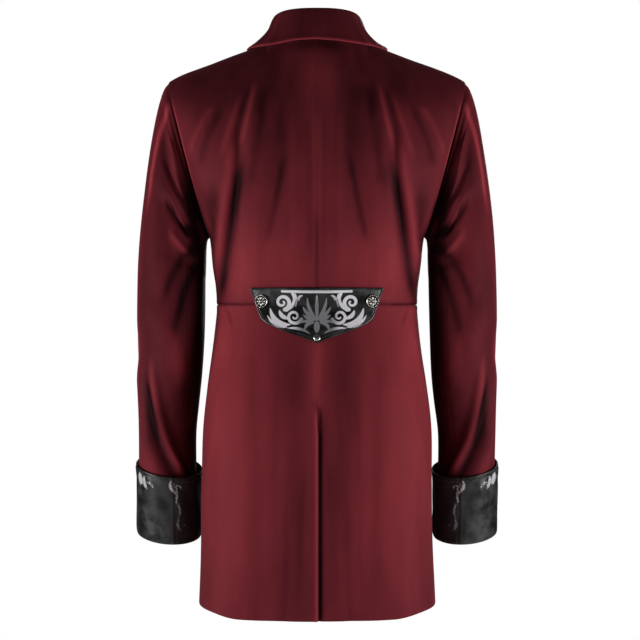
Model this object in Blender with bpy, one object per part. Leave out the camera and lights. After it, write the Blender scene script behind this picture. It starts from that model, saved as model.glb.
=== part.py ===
"""Velvet tailcoat with turned-back cuffs and a pointed back tab, filled out as it is worn.

Metres, +Z up, front towards -Y, the wearer's left towards +X. The origin is midway between the two
points where the shoulder seams meet the collar, where the wearer's shoulders carry the coat.
Each cut piece is a closed wall of cloth: a grid of outer points, and the same grid moved inwards
along its normals by the cloth's thickness. Rows of a grid run down the body or along the sleeve.
"""

from collections import namedtuple

import bmesh
import bpy
import numpy as np
from mathutils import Vector

# Cloth and seams
VELVET = 0.0018
BLACK_CLOTH = 0.0016
SEAM = 0.0004

# Neck ring, shoulders, armholes and waist
NECK_HALF_WIDTH = 0.075
NECK_CENTRE_Y = 0.008
NECK_BACK_REACH = 0.080
NECK_FRONT_REACH = 0.083
NECK_BACK_DROP = 0.008
NECK_FRONT_DROP = 0.075
SHOULDER_X = 0.222
SHOULDER_FALL = 0.052
SHOULDER_ROUNDING = 0.006
ARMHOLE_TOP_Z = -(SHOULDER_FALL + SHOULDER_ROUNDING)
ARMHOLE_MID_Z = -0.174
UNDERARM_X = 0.160
UNDERARM_Z = 2 * ARMHOLE_MID_Z - ARMHOLE_TOP_Z
ARMHOLE_REACH = 0.056
WAIST_Z = -0.389
HEM_Z = -0.832

# Chest and back: how square the sections are, and how steeply the cloth leaves the neck seam
SECTION_POWER = 2.35
HEM_POWER = 2.9
SIDE_EXPONENT = 1 / SECTION_POWER
BLADE_EXPONENT = 0.72
RIDGE_WIDTH = 0.066
BACK_START_DEG = 20
FRONT_START_DEG = 40

# Front closing and back vent
BUTTON_STAND = 0.020
LAP_LIFT = VELVET + 0.0006
LAP_FULL_X = 0.026
LAP_END_X = 0.062
VENT_TOP_Z = -0.529
VENT_LIFT = VELVET + 0.0012
VENT_EDGE_X = 0.003
UNDERLAP = 0.030
VENT_FULL_X = 0.034
VENT_END_X = 0.075

# Collar, sleeves, cuffs, tab and buttons
AROUND = 20
BACK_SEAM = 7
FRONT_SEAM = 14
ELBOW_RING = 8
CUFF_RETURN = 0.020
FOOT_INSET = 0.0013
TAB_GAP = 0.0010
TAB_TOP_Z = -0.3664
BUTTON_RADIUS = 0.0100
BUTTON_GAP = 0.0003
STUD_RADIUS = 0.0050
TAB_BUTTON_X = 0.0784
TAB_BUTTON_Z = -0.3849
STUD_Z = -0.4380
FRONT_BUTTON_Z = (-0.130, -0.190, -0.250, -0.310, -0.370)

# The torso's sections below the middle of the armhole, in the order of height
Section = namedtuple("Section", "z half_width back_y front_y")
TORSO = (
    Section(-0.174, 0.1910, 0.1200, -0.1160),
    Section(-0.232, 0.1755, 0.1190, -0.1220),
    Section(-0.290, 0.1600, 0.1140, -0.1220),
    Section(-0.328, 0.1545, 0.1065, -0.1170),
    Section(-0.364, 0.1508, 0.0990, -0.1100),
    Section(-0.389, 0.1492, 0.0970, -0.1075),
    Section(-0.418, 0.1515, 0.1010, -0.1090),
    Section(-0.454, 0.1555, 0.1100, -0.1125),
    Section(-0.508, 0.1632, 0.1215, -0.1170),
    Section(-0.562, 0.1695, 0.1275, -0.1190),
    Section(-0.650, 0.1710, 0.1315, -0.1200),
    Section(-0.742, 0.1716, 0.1355, -0.1220),
    Section(-0.832, 0.1755, 0.1405, -0.1250),
)

# The sleeve's rings: the points on its outer and inner lines, and its depth from front to back.
# The first ring is the armhole, and from there the rings fan out about the underarm.
Ring = namedtuple("Ring", "outer_x outer_z inner_x inner_z half_depth centre_y tilt_deg")
SLEEVE = (
    Ring(SHOULDER_X, ARMHOLE_TOP_Z, UNDERARM_X, UNDERARM_Z, ARMHOLE_REACH, 0.000, 0),
    Ring(0.2290, -0.0680, 0.1632, -0.2930, 0.0585, 0.000, 0),
    Ring(0.2365, -0.0900, 0.1650, -0.2980, 0.0605, 0.000, 0),
    Ring(0.2435, -0.1220, 0.1657, -0.3050, 0.0620, 0.000, 0),
    Ring(0.2505, -0.1650, 0.1660, -0.3150, 0.0630, 0.000, 0),
    Ring(0.2580, -0.2180, 0.1662, -0.3270, 0.0630, 0.000, 0),
    Ring(0.2640, -0.2720, 0.1666, -0.3430, 0.0620, 0.001, 0),
    Ring(0.2675, -0.3260, 0.1672, -0.3640, 0.0605, 0.002, 0),
    Ring(0.2688, -0.3800, 0.1678, -0.3980, 0.0590, 0.002, 1),
    Ring(0.2690, -0.4320, 0.1690, -0.4400, 0.0570, 0.001, 3),
    Ring(0.2683, -0.4830, 0.1718, -0.4870, 0.0545, -0.004, 6),
    Ring(0.2686, -0.5320, 0.1768, -0.5340, 0.0520, -0.012, 9),
    Ring(0.2700, -0.5800, 0.1828, -0.5800, 0.0495, -0.022, 11),
    Ring(0.2708, -0.6260, 0.1842, -0.6260, 0.0475, -0.031, 12),
    Ring(0.2722, -0.6780, 0.1835, -0.6780, 0.0465, -0.041, 12),
    Ring(0.2730, -0.7320, 0.1824, -0.7320, 0.0462, -0.051, 12),
)

# The cuff's profile: places along the sleeve's rings on its outer and inner lines, and how far the
# cloth's middle stands off the sleeve there. It runs down the outside, round the sleeve's end and
# back up inside.
CuffPoint = namedtuple("CuffPoint", "outer_place inner_place outer_off inner_off")
SLEEVE_END = len(SLEEVE) - 1
END_SLANT = 0.17
CUFF = (
    CuffPoint(13.04, 13.30, 0.0036, 0.0085),
    CuffPoint(13.40, 13.67, 0.0033, 0.0070),
    CuffPoint(13.90, 14.12, 0.0031, 0.0058),
    CuffPoint(14.45, 14.62, 0.0030, 0.0048),
    CuffPoint(14.96, 15.13, 0.0029, 0.0036),
    CuffPoint(15.035, 15.205, 0.0018, 0.0018),
    CuffPoint(15.050, 15.220, -0.0008, -0.0008),
    CuffPoint(15.030, 15.200, -0.0026, -0.0026),
    CuffPoint(14.95, 15.12, -0.0030, -0.0030),
    CuffPoint(14.60, 14.76, -0.0030, -0.0030),
)

# The collar at angles round the neck from the middle of the back: the fold at its top, a point half
# way down its fall, and the fall's edge. The right side mirrors the left.
CollarAngle = namedtuple(
    "CollarAngle", "deg fold_x fold_y fold_z fall_x fall_y fall_z edge_x edge_y edge_z"
)
COLLAR = (
    CollarAngle(0, 0.0000, 0.0920, 0.0340, 0.0000, 0.1000, 0.0120, 0.0000, 0.1035, -0.0115),
    CollarAngle(18, 0.0225, 0.0895, 0.0340, 0.0275, 0.0975, 0.0115, 0.0325, 0.1010, -0.0130),
    CollarAngle(36, 0.0425, 0.0790, 0.0338, 0.0505, 0.0860, 0.0110, 0.0600, 0.0905, -0.0158),
    CollarAngle(54, 0.0580, 0.0600, 0.0335, 0.0675, 0.0650, 0.0100, 0.0860, 0.0705, -0.0165),
    CollarAngle(72, 0.0665, 0.0350, 0.0330, 0.0765, 0.0385, 0.0085, 0.1010, 0.0420, -0.0140),
    CollarAngle(90, 0.0685, 0.0080, 0.0310, 0.0795, 0.0080, 0.0080, 0.1040, 0.0080, -0.0085),
    CollarAngle(108, 0.0655, -0.0190, 0.0230, 0.0785, -0.0220, 0.0030, 0.1050, -0.0290, -0.0150),
    CollarAngle(126, 0.0565, -0.0430, 0.0070, 0.0785, -0.0560, -0.0100, 0.1005, -0.0680, -0.0355),
    CollarAngle(144, 0.0415, -0.0620, -0.0130, 0.0680, -0.0840, -0.0350, 0.0895, -0.0975, -0.0690),
    CollarAngle(162, 0.0240, -0.0745, -0.0290, 0.0500, -0.0980, -0.0580, 0.0730, -0.1150, -0.0980),
    CollarAngle(176, 0.0085, -0.0790, -0.0370, 0.0300, -0.1030, -0.0760, 0.0540, -0.1240, -0.1230),
)

# The largest folds of the cloth, as lines on the wearer's left side seen from behind or in front.
# A positive height stands out and a negative one lies in. The right side mirrors them.
Fold = namedtuple("Fold", "start_x start_z end_x end_z height width")
BACK_FOLDS = (
    Fold(0.104, -0.120, 0.137, -0.372, -0.0065, 0.010),
    Fold(0.122, -0.140, 0.150, -0.362, 0.0035, 0.010),
    Fold(0.066, -0.075, 0.098, -0.200, 0.0030, 0.012),
    Fold(0.030, -0.150, 0.034, -0.350, 0.0020, 0.014),
    Fold(0.056, -0.160, 0.058, -0.360, -0.0020, 0.014),
)
FRONT_FOLDS = (
    Fold(0.100, -0.110, 0.136, -0.350, -0.0038, 0.013),
    Fold(0.070, -0.120, 0.090, -0.300, 0.0025, 0.016),
)
SKIRT_FOLDS = (
    Fold(0.048, -0.440, 0.056, -0.900, -0.0035, 0.026),
    Fold(0.118, -0.420, 0.122, -0.900, 0.0030, 0.026),
)

# The sleeve's folds cross it slantwise: places along the rings and angles round them.
SleeveFold = namedtuple("SleeveFold", "start_place start_deg end_place end_deg height width")
SLEEVE_FOLDS = (
    SleeveFold(4.2, 60, 6.6, 120, -0.0045, 0.55),
    SleeveFold(5.6, 150, 8.4, 60, -0.0035, 0.60),
    SleeveFold(8.6, 20, 12.8, 130, -0.0060, 0.55),
    SleeveFold(9.6, 10, 12.9, 80, 0.0035, 0.50),
    SleeveFold(8.0, 250, 11.0, 320, -0.0040, 0.60),
    SleeveFold(9.6, 230, 12.0, 300, 0.0030, 0.60),
)

# The back tab's half outline below its straight top, from the point at the middle to the corner
TabPoint = namedtuple("TabPoint", "x z")
TAB_OUTLINE = (
    TabPoint(0.0000, -0.4450),
    TabPoint(0.0142, -0.4385),
    TabPoint(0.0425, -0.4290),
    TabPoint(0.0640, -0.4200),
    TabPoint(0.0730, -0.4150),
    TabPoint(0.0797, -0.4080),
    TabPoint(0.0862, -0.3916),
    TabPoint(0.0916, -0.3745),
    TabPoint(0.0942, -0.3700),
)

# The skirt's front edge sweeps back from the waist: an angle round the body at each height
Sweep = namedtuple("Sweep", "z deg")
CUTAWAY = (
    Sweep(-0.389, 171),
    Sweep(-0.430, 158),
    Sweep(-0.490, 144),
    Sweep(-0.570, 131),
    Sweep(-0.660, 121),
    Sweep(-0.750, 114),
    Sweep(-0.832, 109),
)
CORNER_RISE = 0.028
CORNER_SPAN_DEG = 20
SIDE_RISE = 0.005

WINE_VELVET = ((0.150, 0.012, 0.020), 0.55, 0.0)
BLACK_LEATHER = ((0.012, 0.012, 0.014), 0.32, 0.0)
OLD_SILVER = ((0.42, 0.40, 0.37), 0.34, 1.0)


def column(table, name):
    """One named column of a table as an array."""
    return np.array([getattr(row, name) for row in table], float)


def along(table, key, name, at):
    """A column read at any key by a smooth curve through the table's rows."""
    x, y = column(table, key), column(table, name)
    if x[0] > x[-1]:
        x, y = x[::-1], y[::-1]
    return curve(x, y, at)


def curve(x, y, at):
    """Cubic Hermite curve through the points (x, y), with slopes taken from the neighbours."""
    slopes = np.gradient(y, x)
    at = np.clip(np.asarray(at, float), x[0], x[-1])
    i = np.clip(np.searchsorted(x, at, side="right") - 1, 0, len(x) - 2)
    step = x[i + 1] - x[i]
    t = (at - x[i]) / step
    rise = t * t * (3 - 2 * t)
    return (
        y[i] * (1 - rise)
        + y[i + 1] * rise
        + slopes[i] * step * t * (1 - t) ** 2
        - slopes[i + 1] * step * t * t * (1 - t)
    )


def smooth(low, high, value):
    """0 below low, 1 above high and an easy S between them."""
    t = np.clip((value - low) / (high - low), 0, 1)
    return t * t * (3 - 2 * t)


def unit(vectors):
    return vectors / np.maximum(np.linalg.norm(vectors, axis=-1, keepdims=True), 1e-12)


def normals_of(points, closed=False):
    """Outward normals of a grid whose columns run from the back round to the front."""
    if closed:
        across = np.roll(points, -1, axis=1) - np.roll(points, 1, axis=1)
    else:
        across = np.gradient(points, axis=1)
    down = np.gradient(points, axis=0)
    return unit(np.cross(across, down))


def share(first, second):
    """Gives both sides of a seam the same normals, so that their walls stay side by side."""
    mean = unit(first + second)
    first[...] = mean
    second[...] = mean


def shifted(points, normals, height):
    return points + normals * np.asarray(height)[..., None]


def mirrored(points):
    """The same piece for the other side of the body, with its columns turned round."""
    return points[:, ::-1] * np.array((-1.0, 1.0, 1.0))


def trimmed(points, edges):
    """Draws the named edges of a grid in by half a seam's gap."""
    points = points.copy()
    half = SEAM / 2
    if "top" in edges:
        points[0] += unit(points[1] - points[0]) * half
    if "bottom" in edges:
        points[-1] += unit(points[-2] - points[-1]) * half
    if "first" in edges:
        points[:, 0] += unit(points[:, 1] - points[:, 0]) * half
    if "last" in edges:
        points[:, -1] += unit(points[:, -2] - points[:, -1]) * half
    return points


def line_height(across, down, start, end, height, width):
    """Height of one fold at points of a flat chart: a soft ridge along a line, fading at its ends."""
    line = np.subtract(end, start)
    length = np.hypot(*line)
    u = ((across - start[0]) * line[0] + (down - start[1]) * line[1]) / length**2
    off = ((across - start[0]) * line[1] - (down - start[1]) * line[0]) / length
    fade = smooth(-0.02, 0.22, u) * smooth(-0.02, 0.22, 1 - u)
    return height * fade * np.exp(-((off / width) ** 2))


def fold_height(folds, points):
    """Sum of a table of folds at points of the body, the same on both sides."""
    x, z = np.abs(points[..., 0]), points[..., 2]
    total = np.zeros(x.shape)
    for f in folds:
        start, end = (f.start_x, f.start_z), (f.end_x, f.end_z)
        total += line_height(x, z, start, end, f.height, f.width)
    return total


def torso_points(angle, z):
    """Points of the closed body, by the angle from the middle of the back and the height."""
    s = np.sin(angle)
    half_width = along(TORSO, "z", "half_width", z)
    back = along(TORSO, "z", "back_y", z)
    front = along(TORSO, "z", "front_y", z)
    power = SECTION_POWER + (HEM_POWER - SECTION_POWER) * smooth(0.05, 0.35, WAIST_Z - z)
    reach = (1 - np.abs(s) ** power).clip(0) ** (1 / power)
    y = np.where(np.cos(angle) >= 0, back, front) * reach
    return np.stack(np.broadcast_arrays(half_width * s, y, z), axis=-1)


def top_edge(s, front):
    """The bodice's top edge: the neck seam, and from there the shoulder seam out to the armhole."""
    x = SHOULDER_X * s
    neck = np.sqrt((1 - (x / NECK_HALF_WIDTH) ** 2).clip(0))
    r = ((np.abs(x) - NECK_HALF_WIDTH) / (SHOULDER_X - NECK_HALF_WIDTH)).clip(0)
    if front:
        y = NECK_CENTRE_Y - NECK_FRONT_REACH * neck
        z = -NECK_FRONT_DROP * neck**1.5
    else:
        y = NECK_CENTRE_Y + NECK_BACK_REACH * neck
        z = -NECK_BACK_DROP * neck**0.6
    y = y - NECK_CENTRE_Y * r
    z = z - SHOULDER_FALL * r**0.94 - SHOULDER_ROUNDING * r**12
    return np.stack([x, y, z], axis=-1)


def section_columns(stand):
    """Shares of the half width for a bodice's columns: past the middle, round the neck, to the side."""
    neck = NECK_HALF_WIDTH * np.sin(np.radians(np.linspace(0, 90, 6))) / SHOULDER_X
    start = np.arcsin(NECK_HALF_WIDTH / SHOULDER_X)
    shoulder = np.sin(np.linspace(start, np.pi / 2, 13))[1:]
    past = np.array([-1.0, -0.5]) * stand / SHOULDER_X if stand else np.array([])
    return np.concatenate([past, neck, shoulder])


def bodice_points(front, stand=0.0):
    """Outer points of the left half bodice, from the neck and shoulder down to the waist."""
    s = section_columns(stand)
    line = "front_y" if front else "back_y"
    side = -1.0 if front else 1.0
    top = top_edge(s, front)
    reach = (1 - np.abs(s) ** SECTION_POWER).clip(0)
    mid_y = along(TORSO, "z", line, ARMHOLE_MID_Z)
    edge_y = side * ARMHOLE_REACH
    mid_x = (SHOULDER_X + UNDERARM_X) / 2
    middle_y = edge_y + (mid_y - edge_y) * reach**BLADE_EXPONENT
    neck = (1 - (SHOULDER_X * s / NECK_HALF_WIDTH) ** 2).clip(0)
    start = np.radians(FRONT_START_DEG if front else BACK_START_DEG) * neck
    ridge_y = NECK_CENTRE_Y + (top[0, 1] - NECK_CENTRE_Y) * np.exp(-((SHOULDER_X * s / RIDGE_WIDTH) ** 2))

    rows = []
    for share_down in np.linspace(0, 1, 6):
        turn = start + (np.pi / 2 - start) * share_down
        out = (np.sin(turn) - np.sin(start)) / (1 - np.sin(start))
        fall = (np.cos(start) - np.cos(turn)) / np.cos(start)
        x = s * (SHOULDER_X + (mid_x - SHOULDER_X) * fall)
        y = ridge_y + (middle_y - ridge_y) * out + (top[:, 1] - ridge_y) * (1 - share_down) ** 5
        z = top[:, 2] + (ARMHOLE_MID_Z - top[:, 2]) * fall
        rows.append(np.stack([x, y, z], axis=-1))
    for share_down in np.linspace(0, 1, 6)[1:]:
        turn = np.pi / 2 * share_down
        centre_z = ARMHOLE_MID_Z + (UNDERARM_Z - ARMHOLE_MID_Z) * share_down
        edge_z = ARMHOLE_MID_Z + (UNDERARM_Z - ARMHOLE_MID_Z) * np.sin(turn)
        z = centre_z + (edge_z - centre_z) * np.abs(s) ** 3
        armhole_y = edge_y * np.cos(turn)
        edge_x = mid_x + (UNDERARM_X - mid_x) * np.sin(turn)
        exponent = BLADE_EXPONENT + (SIDE_EXPONENT - BLADE_EXPONENT) * share_down
        centre_y = along(TORSO, "z", line, z)
        y = armhole_y + (centre_y - armhole_y) * reach**exponent
        rows.append(np.stack([edge_x * s, y, z], axis=-1))
    angle = np.arcsin(s.clip(-1, 1))
    angle = np.pi - angle if front else angle
    for z in np.array([-0.312, -0.334, -0.353, -0.371, WAIST_Z]):
        rows.append(torso_points(angle, np.full(len(s), z)))
    return np.array(rows)


def bodice():
    """The four bodice pieces as {name: (outer points, normals)}, with their seams shared."""
    back = bodice_points(front=False)
    left = bodice_points(front=True, stand=BUTTON_STAND)[:, ::-1]
    base_back, base_left = normals_of(back), normals_of(left)
    back = shifted(back, base_back, fold_height(BACK_FOLDS, back))
    folds = fold_height(FRONT_FOLDS, left)
    lap = LAP_LIFT * (1 - smooth(LAP_FULL_X, LAP_END_X, np.abs(left[..., 0])))
    right = shifted(left, base_left, folds)
    left = shifted(left, base_left, folds + lap)
    normals = {"back": normals_of(back), "left": normals_of(left), "right": normals_of(right)}
    shoulder = len(section_columns(0)) - 5
    rows_to_underarm = 10
    for name in ("left", "right"):
        front = normals[name]
        share(normals["back"][rows_to_underarm:, -1], front[rows_to_underarm:, 0])
        share(normals["back"][0, -shoulder:][::-1], front[0, :shoulder])
    centre = normals["back"][:, 0]
    centre[:, 0] = 0
    normals["back"][:, 0] = unit(centre)
    right_points, right_normals = mirrored(right), mirrored(normals["right"])
    return {
        "back_left": (back, normals["back"]),
        "back_right": (mirrored(back), mirrored(normals["back"])),
        "front_left": (left, normals["left"]),
        "front_right": (right_points, right_normals),
    }


def skirt_rows():
    above = WAIST_Z - np.array([0.0, 0.012, 0.024, 0.038, 0.054, 0.078, 0.106, 0.136])
    start = VENT_TOP_Z - np.array([0.014, 0.018])
    below = np.linspace(VENT_TOP_Z - 0.050, HEM_Z, 7)
    return np.concatenate([above, start, below])


def skirt_points(over):
    """Outer points and normals of half the skirt, from the middle of the back to its front edge.

    The half that lies over has its vent edge lifted, and the other runs on under it.
    """
    z = skirt_rows()[:, None]
    share_round = np.linspace(0, 1, 19)[None, :] ** 1.35
    opened = smooth(0.018, 0.050, VENT_TOP_Z - z)
    edge_x = -(VENT_EDGE_X if over else UNDERLAP) * opened
    first = np.arcsin(edge_x / along(TORSO, "z", "half_width", z))
    last = np.radians(along(CUTAWAY, "z", "deg", z))
    angle = first + (last - first) * share_round
    corner = smooth(0, 1, 1 - (last - angle) / np.radians(CORNER_SPAN_DEG))
    down = (WAIST_Z - z) / (WAIST_Z - HEM_Z)
    rise = CORNER_RISE * corner**2 + SIDE_RISE * smooth(0.62, 0.92, np.sin(angle))
    z = z + rise * down**6
    points = torso_points(angle, z)
    height = fold_height(SKIRT_FOLDS, points)
    if over:
        lifted = smooth(0.0, 0.014, VENT_TOP_Z - z)
        height = height + VENT_LIFT * lifted * (1 - smooth(VENT_FULL_X, VENT_END_X, points[..., 0]))
    points = shifted(points, normals_of(points), height)
    normals = normals_of(points)
    above_vent = skirt_rows() > VENT_TOP_Z
    normals[above_vent, 0, 0] = 0
    return points, unit(normals)


def sleeve_points(outer_place, inner_place=None, outer_off=0.0, inner_off=None, folds=()):
    """Rings of the left sleeve, each through a place on its outer line and one on its inner line.

    Each ring is an ellipse about the sleeve's middle. outer_off and inner_off move it out.
    """
    phi = np.radians(np.arange(AROUND) * 360 / AROUND)[None, :]
    inwards = (1 - np.cos(phi)) / 2

    def across(outer, inner):
        outer = np.asarray(outer, float)
        inner = outer if inner is None else np.asarray(inner, float)
        return outer[..., None] * (1 - inwards) + inner[..., None] * inwards

    place, extra = across(outer_place, inner_place), across(outer_off, inner_off)
    inside = np.clip(place, 0, SLEEVE_END)
    index = np.arange(len(SLEEVE), dtype=float)
    read = {name: curve(index, column(SLEEVE, name), inside) for name in Ring._fields}
    outer = np.stack([read["outer_x"], read["centre_y"], read["outer_z"]], -1)
    inner = np.stack([read["inner_x"], read["centre_y"], read["inner_z"]], -1)
    centre = (outer + inner) / 2 + (place - inside)[..., None] * np.array(end_step())
    half_width = np.linalg.norm(outer - inner, axis=-1) / 2
    out_axis = unit(outer - inner)
    tilt = np.radians(read["tilt_deg"])
    back_axis = np.stack([np.zeros_like(tilt), np.cos(tilt), -np.sin(tilt)], -1)
    extra = extra + sleeve_fold_height(place, np.degrees(phi), folds)
    sideways = ((half_width + extra) * np.cos(phi))[..., None] * out_axis
    return centre + sideways + ((read["half_depth"] + extra) * np.sin(phi))[..., None] * back_axis


def end_step():
    """How far the sleeve's middle moves over its last ring, for places past its end."""
    last, before = SLEEVE[-1], SLEEVE[-2]
    return (0.0, last.centre_y - before.centre_y, last.outer_z - before.outer_z)


def sleeve_fold_height(place, deg, folds):
    """Sum of the sleeve's folds in the chart of places and angles, angles counted in sixths of a turn."""
    total = np.zeros(np.broadcast_shapes(place.shape, deg.shape))
    for f in folds:
        start = (f.start_place, f.start_deg / 60)
        end = (f.end_place, f.end_deg / 60)
        total += line_height(place, deg / 60, start, end, f.height, f.width)
    return total


def sleeve():
    """Outer points and normals of the left sleeve, its head clear of the armhole."""
    place = np.arange(len(SLEEVE), dtype=float)
    slanted = place + END_SLANT * smooth(SLEEVE_END - 3, SLEEVE_END, place)
    points = sleeve_points(place, slanted, folds=SLEEVE_FOLDS)
    normals = -normals_of(points, closed=True)
    first = sleeve_points([0.0])[0]
    wider = sleeve_points([0.0], outer_off=0.01)[0]
    normals[0] = unit(wider - first)
    out_axis = unit(np.array([SHOULDER_X - UNDERARM_X, 0.0, ARMHOLE_TOP_Z - UNDERARM_Z]))
    away = np.cross(out_axis, (0.0, 1.0, 0.0))
    away *= np.sign(away[0])
    points[0] += away * SEAM
    return points, normals


def sleeve_pieces(grid):
    """The sleeve's grid cut at its two long seams into a top and an under sleeve.

    Each is halved at the elbow, so that its collision pieces can follow the arm's hollow closely.
    """
    around = np.concatenate([grid, grid], axis=1)
    cuts = {"top": (FRONT_SEAM, AROUND + BACK_SEAM), "under": (BACK_SEAM, FRONT_SEAM)}
    pieces = {}
    for name, (first, last) in cuts.items():
        pieces[f"upper_{name}_sleeve"] = around[: ELBOW_RING + 1, first : last + 1]
        pieces[f"lower_{name}_sleeve"] = around[ELBOW_RING:, first : last + 1]
    return pieces


def cuff():
    """Both faces of the left cuff, from the profile of its cloth's middle."""
    middle = sleeve_points(*(column(CUFF, name) for name in CuffPoint._fields))
    normals = -normals_of(middle, closed=True)
    return middle, normals


def collar():
    """The collar's middle surface, from its right front end round the back to the left one.

    Each profile rises from the neck seam as the stand, rolls over at the fold and falls to its edge.
    """
    profiles = []
    for row in COLLAR:
        psi = np.radians(row.deg)
        s = NECK_HALF_WIDTH * np.sin(psi) / SHOULDER_X
        seam = top_edge(np.array(s), front=row.deg > 90)
        lap = LAP_LIFT * (1 - smooth(LAP_FULL_X, LAP_END_X, abs(seam[0]))) if row.deg > 90 else 0
        fold = np.array([row.fold_x, row.fold_y, row.fold_z])
        edge = np.array([row.edge_x, row.edge_y, row.edge_z])
        outward = unit(np.array([fold[0], fold[1] - NECK_CENTRE_Y, 0.0]))
        foot = seam + (0, 0, SEAM + lap) - outward * FOOT_INSET
        roll = 0.0030
        inner = fold - outward * roll - (0, 0, roll)
        outer = fold + outward * roll - (0, 0, roll)
        stand = (foot + inner) / 2 + outward * 0.001
        fall = np.array([row.fall_x, row.fall_y, row.fall_z])
        points = np.array([foot, stand, inner, fold, outer, fall, edge])
        place = np.array([0.0, 1.0, 2.0, 2.7, 3.4, 4.4, 5.6])
        at = np.array([0.0, 0.7, 1.4, 2.0, 2.35, 2.7, 3.05, 3.4, 4.0, 4.7, 5.6])
        profiles.append(np.stack([curve(place, points[:, k], at) for k in range(3)], -1))
    left = np.array(profiles)
    right = left[:0:-1] * np.array((-1.0, 1.0, 1.0))
    middle = np.concatenate([right, left]).transpose(1, 0, 2)
    return middle, normals_of(middle)


def back_surface(x, z):
    """A point of the coat's back, bodice or skirt, and its normal."""
    step = 0.002

    def point(px, pz):
        angle = np.arcsin(px / along(TORSO, "z", "half_width", pz))
        return torso_points(angle, pz)

    x, z = np.broadcast_arrays(np.asarray(x, float), np.asarray(z, float))
    across = point(x + step, z) - point(x - step, z)
    down = point(x, z - step) - point(x, z + step)
    base = point(x, z)
    normal = unit(np.cross(across, down))
    height = fold_height(BACK_FOLDS, base) * (z > WAIST_Z)
    height = height + fold_height(SKIRT_FOLDS, base) * (z <= WAIST_Z)
    return shifted(base, normal, height), normal


def tab():
    """Inner side of the pointed tab: a fan of columns between its top edge and its lower outline."""
    share_out = np.array([0, 0.15, 0.32, 0.48, 0.60, 0.70, 0.80, 0.90, 1.0])
    half_x, half_z = column(TAB_OUTLINE, "x"), column(TAB_OUTLINE, "z")
    index = np.linspace(0, 1, len(TAB_OUTLINE))
    low_x, low_z = np.interp(share_out, index, half_x), np.interp(share_out, index, half_z)
    top_x = half_x[-1] * share_out + 0.0006 * share_out
    low_x = np.concatenate([-low_x[:0:-1], low_x])
    low_z = np.concatenate([low_z[:0:-1], low_z])
    top_x = np.concatenate([-top_x[:0:-1], top_x])
    down = np.linspace(0, 1, 5)[:, None]
    x = top_x + (low_x - top_x) * down
    z = TAB_TOP_Z + (low_z - TAB_TOP_Z) * down
    surface, normals = back_surface(x, z)
    return shifted(surface, normals, TAB_GAP), normals


def material(name, finish):
    colour, roughness, metallic = finish
    made = bpy.data.materials.new(name)
    made.use_nodes = True
    shader = made.node_tree.nodes["Principled BSDF"]
    shader.inputs["Base Color"].default_value = (*colour, 1.0)
    shader.inputs["Roughness"].default_value = roughness
    shader.inputs["Metallic"].default_value = metallic
    return made


def wall(name, outer, inner, finish, closed=False):
    """A closed solid between two grids of points. A closed grid runs all the way round."""
    rows, columns = outer.shape[:2]
    size = rows * columns
    points = np.concatenate([outer.reshape(-1, 3), inner.reshape(-1, 3)])
    faces = []

    def quad(a, b, c, d):
        faces.append((a, b, c, d))

    spans = columns if closed else columns - 1
    for i in range(rows - 1):
        for j in range(spans):
            a, b = i * columns + j, i * columns + (j + 1) % columns
            c, d = b + columns, a + columns
            quad(a, d, c, b)
            quad(a + size, b + size, c + size, d + size)
    for j in range(spans):
        a, b = j, (j + 1) % columns
        quad(a, b, b + size, a + size)
        a, b = a + (rows - 1) * columns, b + (rows - 1) * columns
        quad(b, a, a + size, b + size)
    if not closed:
        for i in range(rows - 1):
            a, d = i * columns, (i + 1) * columns
            quad(d, a, a + size, d + size)
            b, c = a + columns - 1, d + columns - 1
            quad(b, c, c + size, b + size)
    mesh = bpy.data.meshes.new(name)
    mesh.from_pydata(points.tolist(), [], faces)
    shape = bmesh.new()
    shape.from_mesh(mesh)
    bmesh.ops.recalc_face_normals(shape, faces=shape.faces)
    shape.to_mesh(mesh)
    shape.free()
    mesh.shade_smooth()
    mesh.set_sharp_from_angle(angle=np.radians(50))
    mesh.materials.append(finish)
    made = bpy.data.objects.new(name, mesh)
    bpy.context.scene.collection.objects.link(made)
    return made


def turned_button(name, profile, place, normal, finish, sides=16):
    """A button turned about its own axis from (radius, height) points, set down at a place."""
    mesh = bpy.data.meshes.new(name)
    shape = bmesh.new()
    rings = [
        [
            shape.verts.new((r * np.cos(a), r * np.sin(a), h))
            for a in np.linspace(0, 2 * np.pi, sides, endpoint=False)
        ]
        for r, h in profile
    ]
    for low, high in zip(rings, rings[1:]):
        for k in range(sides):
            shape.faces.new((low[k], low[(k + 1) % sides], high[(k + 1) % sides], high[k]))
    shape.faces.new(rings[0][::-1])
    shape.faces.new(rings[-1])
    shape.to_mesh(mesh)
    shape.free()
    mesh.shade_smooth()
    mesh.set_sharp_from_angle(angle=np.radians(40))
    mesh.materials.append(finish)
    made = bpy.data.objects.new(name, mesh)
    made.location = Vector(place)
    made.rotation_mode = "QUATERNION"
    made.rotation_quaternion = Vector(normal).to_track_quat("Z", "Y")
    bpy.context.scene.collection.objects.link(made)
    return made


def button_profile(radius, height):
    """A flat-backed button with a rounded rim, a sunk ring and a low dome, as (radius, height)."""
    shares = ((0.62, 0.0), (0.96, 0.22), (1.0, 0.45), (0.93, 0.72), (0.80, 0.62), (0.62, 0.84), (0.28, 1.0))
    return [(radius * r, height * h) for r, h in shares]


def make_bodice(velvet):
    trims = {
        "back_left": ("top", "bottom", "first", "last"),
        "back_right": ("top", "bottom", "first", "last"),
        "front_left": ("top", "bottom", "first"),
        "front_right": ("top", "bottom", "last"),
    }
    pieces = bodice()
    for name, (outer, normals) in pieces.items():
        inner = outer - normals * VELVET
        wall(name, trimmed(outer, trims[name]), trimmed(inner, trims[name]), velvet)
    return pieces


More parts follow.
